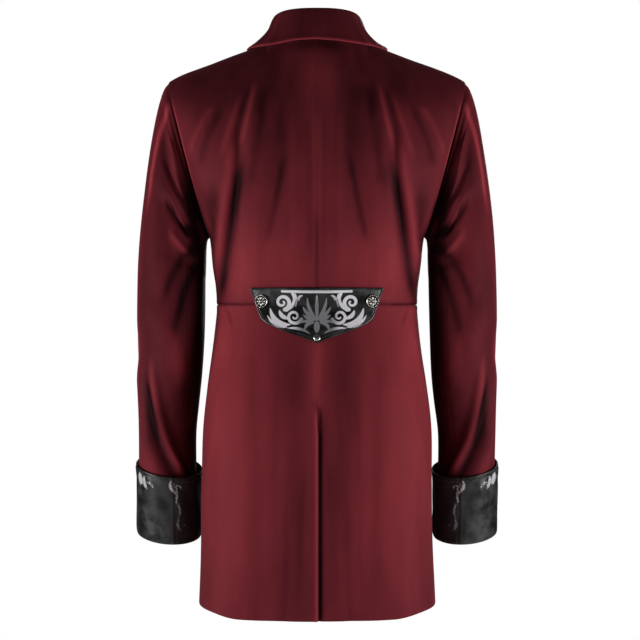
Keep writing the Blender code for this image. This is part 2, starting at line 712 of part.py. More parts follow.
def make_skirt(velvet):
    for name, over in (("skirt_left", True), ("skirt_right", False)):
        outer, normals = skirt_points(over)
        edges = ("top", "first")
        outer, inner = trimmed(outer, edges), trimmed(outer - normals * VELVET, edges)
        if not over:
            outer, inner = mirrored(outer), mirrored(inner)
        wall(name, outer, inner, velvet)


def make_sleeves(velvet, black):
    outer, normals = sleeve()
    outer, inner = sleeve_pieces(outer), sleeve_pieces(outer - normals * VELVET)
    middle, cuff_normals = cuff()
    half = BLACK_CLOTH / 2
    for name, turn in (("left", lambda grid: grid), ("right", mirrored)):
        for piece in outer:
            edges = ("first", "last", "bottom" if piece.startswith("upper") else "top")
            shown, hidden = trimmed(outer[piece], edges), trimmed(inner[piece], edges)
            wall(f"{piece}_{name}", turn(shown), turn(hidden), velvet)
        shown, hidden = middle + cuff_normals * half, middle - cuff_normals * half
        wall("cuff_" + name, turn(shown), turn(hidden), black, closed=True)


def make_collar(velvet):
    middle, normals = collar()
    wall("collar", middle + normals * VELVET / 2, middle - normals * VELVET / 2, velvet)


def make_tab(black, silver):
    under, normals = tab()
    wall("back_tab", under + normals * BLACK_CLOTH, under, black)
    seat = TAB_GAP + BLACK_CLOTH + BUTTON_GAP
    profile = button_profile(BUTTON_RADIUS, 0.0042)
    for name, x in (("tab_button_left", TAB_BUTTON_X), ("tab_button_right", -TAB_BUTTON_X)):
        place, normal = back_surface(x, TAB_BUTTON_Z)
        turned_button(name, profile, place + normal * (seat + 0.0006), normal, silver)
    place, normal = back_surface(0.0, STUD_Z)
    turned_button("tab_stud", button_profile(STUD_RADIUS, 0.0030), place + normal * seat, normal, silver)


def make_front_buttons(front, silver):
    """Buttons down the middle of the lapped front, standing on its outer side."""
    outer, normals = front
    middle = int(np.argmin(np.abs(outer[-1, :, 0])))
    line, out = outer[::-1, middle], normals[::-1, middle]
    for number, z in enumerate(FRONT_BUTTON_Z, 1):
        place = np.array([np.interp(z, line[:, 2], line[:, k]) for k in range(3)])
        normal = unit(np.array([np.interp(z, line[:, 2], out[:, k]) for k in range(3)]))
        seat = place + normal * (BUTTON_GAP + 0.0005)
        turned_button(f"front_button_{number}", button_profile(BUTTON_RADIUS, 0.0042), seat, normal, silver)


def main():
    for old in list(bpy.data.objects):
        bpy.data.objects.remove(old)
    velvet = material("wine_velvet", WINE_VELVET)
    black = material("black_leather", BLACK_LEATHER)
    silver = material("old_silver", OLD_SILVER)
    pieces = make_bodice(velvet)
    make_skirt(velvet)
    make_sleeves(velvet, black)
    make_collar(velvet)
    make_tab(black, silver)
    make_front_buttons(pieces["front_left"], silver)


main()
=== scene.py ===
"""The velvet tailcoat's looks: fine cloth surfaces over the frame's solids, their finishes and a pale studio.

Metres, +Z up, front towards -Y, the wearer's left towards +X. Every cloth piece is a grid of outer
points worked out as whole arrays, given a thickness inwards along its normals and a half-round rim.
Rows of a grid run down the body or along the sleeve, and columns from the back round to the front.
"""

from collections import namedtuple

import bpy
import numpy as np
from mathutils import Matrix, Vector


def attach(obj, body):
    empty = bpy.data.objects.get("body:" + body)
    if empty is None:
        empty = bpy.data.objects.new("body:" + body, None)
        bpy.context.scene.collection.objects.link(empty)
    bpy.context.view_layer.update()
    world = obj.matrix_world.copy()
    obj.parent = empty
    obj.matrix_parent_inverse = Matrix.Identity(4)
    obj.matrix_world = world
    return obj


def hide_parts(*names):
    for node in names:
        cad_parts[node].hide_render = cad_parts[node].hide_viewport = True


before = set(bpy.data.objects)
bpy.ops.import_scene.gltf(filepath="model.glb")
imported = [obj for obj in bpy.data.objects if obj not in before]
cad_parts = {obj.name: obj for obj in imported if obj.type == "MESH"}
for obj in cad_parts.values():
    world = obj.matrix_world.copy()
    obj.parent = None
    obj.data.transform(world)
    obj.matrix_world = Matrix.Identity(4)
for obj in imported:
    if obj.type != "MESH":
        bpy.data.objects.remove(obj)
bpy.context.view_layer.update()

# Cloth and seams
VELVET = 0.0018
BLACK_CLOTH = 0.0016
SEAM = 0.0004
SEAM_OVERLAP = 0.0002
SEAM_DRAW = VELVET / 2 - SEAM_OVERLAP
EASE = 0.008
SEAM_CLEAR = 0.014
WAIST_CLEAR = 0.006
RIM_STEPS = 4
MIRROR = np.array((-1.0, 1.0, 1.0))

# Rolls beside seams, with a groove at the seam itself, and pressed edges
SEAM_ROLL = 0.0005
WAIST_ROLL = 0.0006
MIDDLE_ROLL = 0.0002
ROLL_REACH = 0.0032
GROOVE_SHARE = 0.6
GROOVE_REACH = 0.5
EDGE_REACH = 0.0035
ARMHOLE_PRESS = 0.0007
VENT_PRESS = 0.0012
COLLAR_PRESS = 0.0006

# Neck ring, shoulders, armholes and waist
NECK_HALF_WIDTH = 0.075
NECK_CENTRE_Y = 0.008
NECK_BACK_REACH = 0.080
NECK_FRONT_REACH = 0.083
NECK_BACK_DROP = 0.008
NECK_FRONT_DROP = 0.075
NECK_BACK_POWER = 0.6
NECK_FRONT_POWER = 1.5
SHOULDER_X = 0.222
SHOULDER_FALL = 0.052
SHOULDER_POWER = 0.94
SHOULDER_ROUNDING = 0.006
TIP_POWER = 12
ARMHOLE_TOP_Z = -(SHOULDER_FALL + SHOULDER_ROUNDING)
ARMHOLE_MID_Z = -0.174
UNDERARM_X = 0.160
UNDERARM_Z = 2 * ARMHOLE_MID_Z - ARMHOLE_TOP_Z
ARMHOLE_REACH = 0.056
WAIST_Z = -0.389
HEM_Z = -0.832

# How the rows below the top edge lose its corners: the share of the way down to the armhole's middle
# over which they do, and how blunt they become
NECK_SOFTENING = 0.12
NECK_BLUNTING = 0.35
NECK_SOFT_POWER = 1.4
SLOPE_SOFTENING = 0.34
SHOULDER_BLUNTING = 0.22

# Chest and back: how square the sections are, and how steeply the cloth leaves the neck seam
SECTION_POWER = 2.35
HEM_POWER = 2.9
HEM_SQUARING = (0.05, 0.35)
SIDE_EXPONENT = 1 / SECTION_POWER
BLADE_EXPONENT = 0.72
UNDERARM_POWER = 3
RIDGE_WIDTH = 0.066
BACK_START_DEG = 20
FRONT_START_DEG = 40
START_BLUNTING = 0.15
NECK_HOLD_POWER = 5

# Front closing and back vent
BUTTON_STAND = 0.020
LAP_LIFT = VELVET + 0.0006
LAP_FULL_X = 0.026
LAP_END_X = 0.062
VENT_TOP_Z = -0.529
VENT_OPENING = (0.018, 0.050)
VENT_LIFT = VELVET + 0.0012
VENT_EDGE_X = 0.0012
VENT_CLEAR = 0.012
VENT_START = 0.014
VENT_EASE_X = 0.022
VENT_EASE_Z = 0.060
UNDERLAP = 0.030
VENT_GAP_X = 0.0040
VENT_GAP_WIDTH = 0.0026
VENT_GAP_DEPTH = 0.0026
VENT_GAP_START = 0.05
VENT_FULL_X = 0.034
VENT_END_X = 0.075

# Sleeve: its head is set back behind the armhole's edge, less over the shoulder's tip, and its end
# slants over the last rings
HEAD_SET_BACK = 0.0016
HEAD_REACH = 0.006
HEAD_FADE = (0.2, 1.2)
TIP_SPAN_DEG = 38
TIP_SHARE = 0.9
END_SLANT = 0.17
SLANT_RINGS = 3

# Collar and cuffs
FOOT_INSET = 0.0013
FOLD_ROLL = 0.0030
STAND_BULGE = 0.0010
COLLAR_WAVER = 0.0008
CUFF_DENT = 0.0007
SMALL_CUFF_DENT = 0.0005
CUFF_SEAM_DEG = 108
CUFF_SEAM_DEPTH = 0.0006
CUFF_SEAM_WIDTH_DEG = 1.4
CUFF_RIDGE_DEG = 104.5
CUFF_RIDGE_HEIGHT = 0.0004
CUFF_RIDGE_WIDTH_DEG = 2.2

# Back tab, its stitches, and the metal buttons and stud, with the rosette's places as shares of its radius
TAB_GAP = 0.0010
TAB_TOP_Z = -0.3664
TAB_CORNER_OUT = 0.0006
TAB_ROLL = 0.0005
TAB_ROLL_INSET = 0.0010
TAB_ROLL_WIDTH = 0.0009
TAB_PRESS = 0.0003
TAB_PRESS_WIDTH = 0.0006
TAB_STITCH_INSET = 0.0028
CUFF_STITCH_INSET = 0.0062
STITCH_LENGTH = 0.0026
STITCH_GAP = 0.0012
STITCH_RADIUS = 0.00032
STITCH_DIP = 0.55
STITCH_ARCH = 1.3
BUTTON_RADIUS = 0.0100
BUTTON_HEIGHT = 0.0042
BUTTON_FOOT = 0.0002
BUTTON_GAP = 0.0003
STUD_RADIUS = 0.0050
STUD_HEIGHT = 0.0030
TAB_BUTTON_X = 0.0784
TAB_BUTTON_Z = -0.3849
TAB_BUTTON_LIFT = 0.0006
STUD_Z = -0.4380
FRONT_BUTTON_Z = (-0.130, -0.190, -0.250, -0.310, -0.370)
FRONT_BUTTON_LIFT = 0.0005
RIM_AT = 0.86
RING_AT = 0.30
BEADS = 28
PETALS = 8
PETAL_ROOT = (0.20, 0.34)
PETAL_TIP = (0.56, 0.72)
BOSS_EDGE = (0.10, 0.24)

# Where small folds come in round the tab: spans of the distance from the middle of the back, of the
# height above the tab's top, and of the depth below the origin
TAB_SIDE_CLEAR = (0.096, 0.112)
TAB_TOP_CLEAR = (0.003, 0.017)
TAB_POINT_CLEAR = (0.450, 0.466)

# Fineness of the grids, how closely their columns or rows crowd towards one end, and the rows over
# which the pressed armhole edge comes in at the shoulder and dies away at the underarm
NECK_COLUMNS = 22
SHOULDER_COLUMNS = 84
SHOULDER_CROWDING = 0.69
STAND_COLUMNS = 8
UPPER_ROWS = 70
MIDDLE_ROWS = 44
LOWER_ROWS = 38
UNDERARM_ROW = UPPER_ROWS + MIDDLE_ROWS - 2
PRESS_FIRST_ROWS = (6, 30)
PRESS_LAST_ROWS = (0, 40)
SKIRT_ROWS = 148
SKIRT_COLUMNS = 138
SKIRT_CROWDING = 1.2
SLEEVE_ROWS = 180
SLEEVE_CROWDING = 1.25
SLEEVE_AROUND = 120
BACK_SEAM = 42
FRONT_SEAM = 84
CUFF_AROUND = 208
COLLAR_COLUMNS = 180
TAB_ROWS = 80
TAB_COLUMNS = 112
BUTTON_GRID = 46

# Small unevenness: how folds differ, where they fade at their ends, and the height and span of ripples
FOLD_UNEVENNESS = 0.22
FOLD_TURN = 2.4
SIDE_TURN = 1.9
FOLD_FADE = (-0.02, 0.22)
BODICE_RIPPLE = (0.0006, 0.10)
SKIRT_RIPPLE = (0.0008, 0.12)
SLEEVE_RIPPLE = (0.0006, 0.09)
Wave = namedtuple("Wave", "weight x y z start side_share")
WAVES = (
    Wave(1.0, 6.1, 0.0, 2.3, 0.0, 1.0),
    Wave(1.0, -4.3, 1.7, 3.1, 0.0, 1.3),
    Wave(0.6, 9.7, 2.2, -1.9, 0.7, 1.0),
)
WAVES_TURN = 2.1

# Colours, most as a dark and a light end, with the wine's dark end for painted shade and its rosy end for
# painted highlights; the level of tone and painted light at which the wine is plum and how unevenly its tone
# varies at random, and how bright and how sharp the silver print is
SHADED_WINE = (0.013, 0.0034, 0.0045)
PLUM_WINE = (0.111, 0.0148, 0.0210)
LIT_WINE = (0.345, 0.0430, 0.0540)
PLUM_LEVEL = 0.30
TONE_UNEVENNESS = 0.05
NOISE_SPAN = (0.3, 0.7)
WRONG_SIDE = ((0.050, 0.010, 0.014), (0.085, 0.018, 0.024))
CLOTH_BLACK = ((0.006, 0.006, 0.007), (0.036, 0.036, 0.038))
SHADED_BLACK = (0.004, 0.004, 0.0045)
PRINTED_SILVER = ((0.060, 0.058, 0.064), (0.86, 0.83, 0.87))
OLD_SILVER = ((0.020, 0.018, 0.016), (0.72, 0.70, 0.66))
THREAD_BLACK = ((0.05, 0.05, 0.055), (0.26, 0.26, 0.27))
FLOOR_PALE = ((0.86, 0.86, 0.86), (0.90, 0.90, 0.90))
PRINT_EDGE = 0.00022
CUFF_SOFTNESS = 0.16
CUFF_SHADE_DEG = (92, 116)
CUFF_TONE = 0.74
CUFF_TONE_FALL = 8
PRINT_RAGGED = 0.0016
TAB_TONE = 0.22
TAB_TONE_BAND = 0.6
TAB_TONE_SIDE = (0.020, 0.036)
TAB_TONE_TOP = (-0.385, -0.374)

# The studio
Light = namedtuple("Light", "name place aim width height power")
LIGHTS = (
    Light("left_softbox", (1.5, 0.70, -0.62), (0, 0, -0.50), 0.6, 1.0, 18.5),
    Light("right_softbox", (-1.5, 0.70, -0.62), (0, 0, -0.50), 0.6, 1.0, 18.5),
    Light("camera_fill", (0, 2.6, -0.9), (0, 0, -0.5), 1.6, 1.0, 1.4),
    Light("front_fill", (-0.5, -2.6, 0.3), (0, 0, -0.45), 1.4, 1.4, 22.0),
)
SURROUND_LIGHT = 0.035
FLOOR_Z = -1.46
FLOOR_RADIUS = 2.0
FLOOR_POINTS = 96
CAMERA_PLACE = (-0.0045, 2.0, -0.412)
LENS_MM = 75
SENSOR_MM = 36

# The torso's sections below the middle of the armhole, in the order of height
Section = namedtuple("Section", "z half_width back_y front_y")
TORSO = (
    Section(-0.174, 0.1910, 0.1200, -0.1160),
    Section(-0.232, 0.1755, 0.1190, -0.1220),
    Section(-0.290, 0.1600, 0.1140, -0.1220),
    Section(-0.328, 0.1545, 0.1065, -0.1170),
    Section(-0.364, 0.1508, 0.0990, -0.1100),
    Section(-0.389, 0.1492, 0.0970, -0.1075),
    Section(-0.418, 0.1515, 0.1010, -0.1090),
    Section(-0.454, 0.1555, 0.1100, -0.1125),
    Section(-0.508, 0.1632, 0.1215, -0.1170),
    Section(-0.562, 0.1695, 0.1275, -0.1190),
    Section(-0.650, 0.1710, 0.1315, -0.1200),
    Section(-0.742, 0.1716, 0.1355, -0.1220),
    Section(-0.832, 0.1755, 0.1405, -0.1250),
)

# The sleeve's rings: the points on its outer and inner lines, and its depth from front to back.
# The first ring is the armhole, and from there the rings fan out about the underarm.
Ring = namedtuple("Ring", "outer_x outer_z inner_x inner_z half_depth centre_y tilt_deg")
SLEEVE = (
    Ring(SHOULDER_X, ARMHOLE_TOP_Z, UNDERARM_X, UNDERARM_Z, ARMHOLE_REACH, 0.000, 0),
    Ring(0.2290, -0.0680, 0.1632, -0.2930, 0.0585, 0.000, 0),
    Ring(0.2365, -0.0900, 0.1650, -0.2980, 0.0605, 0.000, 0),
    Ring(0.2435, -0.1220, 0.1657, -0.3050, 0.0620, 0.000, 0),
    Ring(0.2505, -0.1650, 0.1660, -0.3150, 0.0630, 0.000, 0),
    Ring(0.2580, -0.2180, 0.1662, -0.3270, 0.0630, 0.000, 0),
    Ring(0.2640, -0.2720, 0.1666, -0.3430, 0.0620, 0.001, 0),
    Ring(0.2675, -0.3260, 0.1672, -0.3640, 0.0605, 0.002, 0),
    Ring(0.2688, -0.3800, 0.1678, -0.3980, 0.0590, 0.002, 1),
    Ring(0.2690, -0.4320, 0.1690, -0.4400, 0.0570, 0.001, 3),
    Ring(0.2683, -0.4830, 0.1718, -0.4870, 0.0545, -0.004, 6),
    Ring(0.2686, -0.5320, 0.1768, -0.5340, 0.0520, -0.012, 9),
    Ring(0.2700, -0.5800, 0.1828, -0.5800, 0.0495, -0.022, 11),
    Ring(0.2708, -0.6260, 0.1842, -0.6260, 0.0475, -0.031, 12),
    Ring(0.2722, -0.6780, 0.1835, -0.6780, 0.0465, -0.041, 12),
    Ring(0.2730, -0.7320, 0.1824, -0.7320, 0.0462, -0.051, 12),
)
SLEEVE_END = len(SLEEVE) - 1

# The cuff's profile: places along the sleeve's rings on its outer and inner lines, and how far the
# cloth's middle stands off the sleeve there. It runs down the outside, round the end and up inside.
CuffPoint = namedtuple("CuffPoint", "outer_place inner_place outer_off inner_off")
CUFF = (
    CuffPoint(13.04, 13.30, 0.0036, 0.0085),
    CuffPoint(13.40, 13.67, 0.0033, 0.0070),
    CuffPoint(13.90, 14.12, 0.0031, 0.0058),
    CuffPoint(14.45, 14.62, 0.0030, 0.0048),
    CuffPoint(14.96, 15.13, 0.0029, 0.0036),
    CuffPoint(15.035, 15.205, 0.0018, 0.0018),
    CuffPoint(15.050, 15.220, -0.0008, -0.0008),
    CuffPoint(15.030, 15.200, -0.0026, -0.0026),
    CuffPoint(14.95, 15.12, -0.0030, -0.0030),
    CuffPoint(14.60, 14.76, -0.0030, -0.0030),
)

# Places on the cuff's profile, as spans of (first, last, count) for its rows, and as spans in which its
# dents and its seam die away
CUFF_SPANS = ((0, 4, 38), (4, 8, 16), (8, 9, 8))
DENTS_START = (0.0, 0.5)
DENTS_END = (3.6, 4.4)
CUFF_SEAM_END = (4.2, 4.8)

# The collar at angles round the neck from the middle of the back: the fold at its top, a point half
# way down its fall, and the fall's edge
CollarAngle = namedtuple(
    "CollarAngle", "deg fold_x fold_y fold_z fall_x fall_y fall_z edge_x edge_y edge_z"
)
COLLAR = (
    CollarAngle(0, 0.0000, 0.0920, 0.0340, 0.0000, 0.1000, 0.0120, 0.0000, 0.1035, -0.0115),
    CollarAngle(18, 0.0225, 0.0895, 0.0340, 0.0275, 0.0975, 0.0115, 0.0325, 0.1010, -0.0130),
    CollarAngle(36, 0.0425, 0.0790, 0.0338, 0.0505, 0.0860, 0.0110, 0.0600, 0.0905, -0.0158),
    CollarAngle(54, 0.0555, 0.0600, 0.0335, 0.0675, 0.0650, 0.0100, 0.0860, 0.0705, -0.0165),
    CollarAngle(72, 0.0622, 0.0350, 0.0330, 0.0750, 0.0385, 0.0085, 0.1010, 0.0420, -0.0140),
    CollarAngle(90, 0.0640, 0.0080, 0.0310, 0.0775, 0.0080, 0.0080, 0.1040, 0.0080, -0.0085),
    CollarAngle(108, 0.0625, -0.0190, 0.0230, 0.0785, -0.0220, 0.0030, 0.1050, -0.0290, -0.0150),
    CollarAngle(126, 0.0565, -0.0430, 0.0070, 0.0785, -0.0560, -0.0100, 0.1005, -0.0680, -0.0355),
    CollarAngle(144, 0.0415, -0.0620, -0.0130, 0.0680, -0.0840, -0.0350, 0.0895, -0.0975, -0.0690),
    CollarAngle(162, 0.0240, -0.0745, -0.0290, 0.0500, -0.0980, -0.0580, 0.0730, -0.1150, -0.0980),
    CollarAngle(176, 0.0085, -0.0790, -0.0370, 0.0300, -0.1030, -0.0760, 0.0540, -0.1240, -0.1230),
)

# The collar's profile: the places of its foot, stand, inner roll, fold, outer roll, fall and edge, and
# spans of (first, last, count) for its rows
COLLAR_PLACES = np.array((0.0, 1.0, 2.0, 2.7, 3.4, 4.4, 5.6))
COLLAR_SPANS = ((0.0, 2.0, 14), (2.0, 3.4, 13), (3.4, 5.6, 20))
WAVER_SPAN = (3.6, 5.6)
PRESS_PLACE = 5.45
PRESS_REACH = 0.12

# Folds as lines on the wearer's left side, with a bow to one side. A positive height stands out and
# a negative one lies in. The large ones are in the frame's solids too, and the fine ones only here.
Fold = namedtuple("Fold", "start_x start_z end_x end_z height width bow", defaults=(0.0,))
BACK_FOLDS = (
    Fold(0.104, -0.120, 0.137, -0.372, -0.0065, 0.010),
    Fold(0.122, -0.140, 0.150, -0.362, 0.0035, 0.010),
    Fold(0.066, -0.075, 0.098, -0.200, 0.0030, 0.012),
    Fold(0.030, -0.150, 0.034, -0.350, 0.0020, 0.014),
    Fold(0.056, -0.160, 0.058, -0.360, -0.0020, 0.014),
)
BACK_FINE_FOLDS = (
    Fold(0.084, -0.066, 0.117, -0.228, 0.0024, 0.0060, 0.002),
    Fold(0.101, -0.088, 0.119, -0.170, -0.0020, 0.0065, 0.001),
    Fold(0.086, -0.118, 0.086, -0.220, -0.0020, 0.0065, 0.001),
    Fold(0.142, -0.096, 0.186, -0.176, 0.0026, 0.0055, -0.005),
    Fold(0.130, -0.104, 0.168, -0.190, -0.0022, 0.0065, -0.004),
    Fold(0.116, -0.170, 0.146, -0.335, 0.0026, 0.0055, 0.001),
    Fold(0.098, -0.300, 0.108, -0.382, 0.0012, 0.0080, 0.000),
    Fold(0.016, -0.080, 0.012, -0.300, 0.0008, 0.0070, 0.000),
)
FRONT_FOLDS = (
    Fold(0.100, -0.110, 0.136, -0.350, -0.0038, 0.013),
    Fold(0.070, -0.120, 0.090, -0.300, 0.0025, 0.016),
)
FRONT_FINE_FOLDS = (
    Fold(0.140, -0.110, 0.180, -0.180, 0.0014, 0.0060, -0.003),
    Fold(0.118, -0.200, 0.136, -0.345, 0.0014, 0.0060, 0.002),
    Fold(0.050, -0.180, 0.052, -0.340, -0.0010, 0.0090, 0.001),
)
SKIRT_FOLDS = (
    Fold(0.048, -0.440, 0.056, -0.900, -0.0035, 0.026),
    Fold(0.118, -0.420, 0.122, -0.900, 0.0030, 0.026),
)
SKIRT_FINE_FOLDS = (
    Fold(0.041, -0.650, 0.050, -0.900, -0.0011, 0.0075, 0.002),
    Fold(0.012, -0.590, 0.026, -0.840, -0.0010, 0.0070, -0.003),
    Fold(0.086, -0.470, 0.078, -0.880, 0.0012, 0.0130, 0.003),
    Fold(0.138, -0.392, 0.126, -0.424, 0.0014, 0.0035, 0.002),
    Fold(0.131, -0.392, 0.121, -0.430, -0.0010, 0.0035, 0.002),
    Fold(0.010, -0.455, 0.006, -0.530, 0.0010, 0.0080, 0.000),
)

# The sleeve's folds cross it slantwise: places along the rings and angles round them
SleeveFold = namedtuple(
    "SleeveFold", "start_place start_deg end_place end_deg height width bow", defaults=(0.0,)
)
SLEEVE_FOLDS = (
    SleeveFold(4.2, 60, 6.6, 120, -0.0045, 0.55),
    SleeveFold(5.6, 150, 8.4, 60, -0.0035, 0.60),
    SleeveFold(8.6, 20, 12.8, 130, -0.0060, 0.55),
    SleeveFold(9.6, 10, 12.9, 80, 0.0035, 0.50),
    SleeveFold(8.0, 250, 11.0, 320, -0.0040, 0.60),
    SleeveFold(9.6, 230, 12.0, 300, 0.0030, 0.60),
)
SLEEVE_FINE_FOLDS = (
    SleeveFold(0.8, 40, 0.9, 150, -0.0030, 0.45),
    SleeveFold(1.2, 38, 3.6, 88, -0.0045, 0.32, 0.1),
    SleeveFold(1.6, 62, 3.0, 100, 0.0030, 0.24),
    SleeveFold(4.3, 74, 4.5, 124, -0.0045, 0.20, 0.1),
    SleeveFold(4.5, 114, 1.6, 152, -0.0040, 0.22),
    SleeveFold(3.4, 92, 3.7, 128, 0.0022, 0.34),
    SleeveFold(5.3, 88, 5.5, 126, 0.0030, 0.28),
    SleeveFold(8.6, 84, 10.6, 128, 0.0030, 0.24),
    SleeveFold(9.6, 50, 13.4, 140, 0.0050, 0.20, 0.2),
    SleeveFold(10.0, 42, 13.4, 118, -0.0050, 0.20, 0.2),
    SleeveFold(11.6, 40, 13.4, 78, 0.0018, 0.22),
    SleeveFold(4.0, 250, 6.0, 300, -0.0026, 0.30),
    SleeveFold(4.8, 230, 7.4, 300, 0.0018, 0.28),
    SleeveFold(10.2, 226, 13.2, 306, -0.0022, 0.24),
    SleeveFold(11.4, 244, 13.4, 320, 0.0018, 0.22),
)

# The back tab's half outline below its straight top, from the point at the middle to the corner
TabPoint = namedtuple("TabPoint", "x z")
TAB_OUTLINE = (
    TabPoint(0.0000, -0.4450),
    TabPoint(0.0142, -0.4385),
    TabPoint(0.0425, -0.4290),
    TabPoint(0.0640, -0.4200),
    TabPoint(0.0730, -0.4150),
    TabPoint(0.0797, -0.4080),
    TabPoint(0.0862, -0.3916),
    TabPoint(0.0916, -0.3745),
    TabPoint(0.0942, -0.3700),
)

# The skirt's front edge sweeps back from the waist: an angle round the body at each height
Sweep = namedtuple("Sweep", "z deg")
CUTAWAY = (
    Sweep(-0.389, 171),
    Sweep(-0.430, 158),
    Sweep(-0.490, 144),
    Sweep(-0.570, 131),
    Sweep(-0.660, 121),
    Sweep(-0.750, 114),
    Sweep(-0.832, 109),
)
CORNER_RISE = 0.028
CORNER_SPAN_DEG = 20
SIDE_RISE = 0.005
SIDE_RISE_SPAN = (0.62, 0.92)
RISE_POWER = 6

# Painted light and shade on the wearer's left side: soft patches with a middle, a reach and an amount, a
# painted highlight where the amount is above nothing and painted shade where below, and lines as in the
# tables of folds, many along the folds' troughs and ridges, with the amount in the height's place
Patch = namedtuple("Patch", "x z reach_x reach_z amount")
BACK_PAINTED_LIGHT = (
    # painted shade over the top of the back
    Patch(0.000, -0.030, 0.300, 0.085, -0.13),
    Patch(0.160, -0.080, 0.075, 0.036, -0.16),
    # painted shade along the waist seam
    Patch(0.100, -0.389, 0.300, 0.0025, -0.30),
    Patch(0.150, -0.243, 0.010, 0.022, -0.22),
    Patch(0.058, -0.150, 0.030, 0.085, -0.20),
    Patch(0.165, -0.150, 0.018, 0.040, -0.06),
    Patch(0.150, -0.270, 0.016, 0.060, -0.06),
    Patch(0.102, -0.335, 0.030, 0.060, 0.34),
    Patch(0.050, -0.340, 0.040, 0.050, 0.14),
    Patch(0.000, -0.300, 0.010, 0.120, -0.04),
    Patch(0.008, -0.062, 0.020, 0.034, 0.20),
    # painted shadow under the collar's edge
    Patch(0.012, -0.018, 0.040, 0.010, -0.16),
)
BACK_PAINTED_LIGHT_LINES = (
    # painted shade along the main fold's trough, then a painted highlight along its ridge
    Fold(0.106, -0.170, 0.147, -0.405, -0.52, 0.0078, 0.002),
    Fold(0.118, -0.140, 0.150, -0.350, 0.34, 0.0068, 0.002),
    Fold(0.045, -0.170, 0.074, -0.310, -0.22, 0.0052, 0.002),
    Fold(0.086, -0.066, 0.111, -0.170, 0.24, 0.0040, 0.001),
    Fold(0.106, -0.086, 0.139, -0.184, 0.22, 0.0040, -0.001),
    Fold(0.0005, -0.260, 0.0005, -0.385, -0.16, 0.0018, 0.0),
    Fold(0.074, -0.070, 0.100, -0.240, -0.16, 0.0075, 0.003),
    Fold(0.098, -0.078, 0.118, -0.160, -0.12, 0.0060, 0.001),
    Fold(0.142, -0.096, 0.186, -0.176, 0.18, 0.0045, -0.005),
    Fold(0.130, -0.100, 0.170, -0.196, -0.16, 0.0060, -0.005),
    Fold(0.150, -0.250, 0.160, -0.370, -0.16, 0.0060, 0.002),
    Fold(0.003, -0.090, 0.003, -0.370, 0.10, 0.0035, 0.0),
    Fold(0.012, -0.110, 0.010, -0.340, -0.06, 0.0050, 0.001),
    Fold(0.036, -0.120, 0.034, -0.340, 0.09, 0.0060, 0.001),
    Fold(0.076, -0.220, 0.082, -0.370, -0.07, 0.0070, -0.002),
)
SKIRT_PAINTED_LIGHT = (
    Patch(0.150, -0.470, 0.036, 0.160, 0.06),
    Patch(0.080, -0.540, 0.026, 0.150, 0.08),
    Patch(0.026, -0.620, 0.030, 0.230, -0.24),
    Patch(0.000, -0.480, 0.009, 0.045, 0.22),
    Patch(0.044, -0.490, 0.030, 0.075, -0.17),
    Patch(0.138, -0.452, 0.012, 0.030, 0.14),
    Patch(0.080, -0.870, 0.200, 0.130, -0.20),
    Patch(0.172, -0.640, 0.020, 0.200, -0.14),
    # painted shade along the waist seam
    Patch(0.100, -0.389, 0.300, 0.0025, -0.30),
)
SKIRT_PAINTED_LIGHT_LINES = (
    Fold(0.043, -0.660, 0.049, -0.870, -0.08, 0.0060, 0.002),
    Fold(0.014, -0.600, 0.025, -0.820, -0.06, 0.0055, -0.003),
    Fold(0.092, -0.430, 0.085, -0.860, -0.10, 0.0100, 0.003),
    Fold(0.110, -0.420, 0.112, -0.860, 0.08, 0.0110, 0.002),
    Fold(0.060, -0.440, 0.062, -0.800, -0.06, 0.0060, 0.002),
)
FRONT_PAINTED_LIGHT = (
    # painted shade over the top of the front
    Patch(0.000, -0.030, 0.300, 0.085, -0.14),
    Patch(0.130, -0.200, 0.030, 0.060, 0.12),
    Patch(0.100, -0.330, 0.040, 0.060, 0.20),
)
FRONT_PAINTED_LIGHT_LINES = (
    Fold(0.100, -0.130, 0.136, -0.370, -0.28, 0.0080, 0.003),
    Fold(0.118, -0.190, 0.140, -0.345, 0.18, 0.0060, 0.002),
)
# each part's level of tone, and its tables of painted light and shade
PAINTED_LIGHT_TABLES = {
    "back": (0.435, BACK_PAINTED_LIGHT, BACK_PAINTED_LIGHT_LINES),
    "front": (0.45, FRONT_PAINTED_LIGHT, FRONT_PAINTED_LIGHT_LINES),
    "skirt": (0.62, SKIRT_PAINTED_LIGHT, SKIRT_PAINTED_LIGHT_LINES),
}

# Painted highlights along edges and painted shade in strips: amounts, reaches, and spans of the height or
# width that bound them
VENT_EDGE_HIGHLIGHT = 0.40
VENT_EDGE_REACH = 0.0032
VENT_GAP_SHADE = -0.45
VENT_PAINT_START = (0.0, 0.030)
SHOULDER_HIGHLIGHT = 0.30
SHOULDER_HIGHLIGHT_REACH = 0.0045
SHOULDER_HIGHLIGHT_SPAN = (0.100, 0.130)
ARMHOLE_HIGHLIGHT = 0.75
ARMHOLE_HIGHLIGHT_PLACE = 0.0016
ARMHOLE_HIGHLIGHT_REACH = 0.0026
ARMHOLE_HIGHLIGHT_START = (0.080, 0.120)
ARMHOLE_HIGHLIGHT_END = (0.255, 0.290)

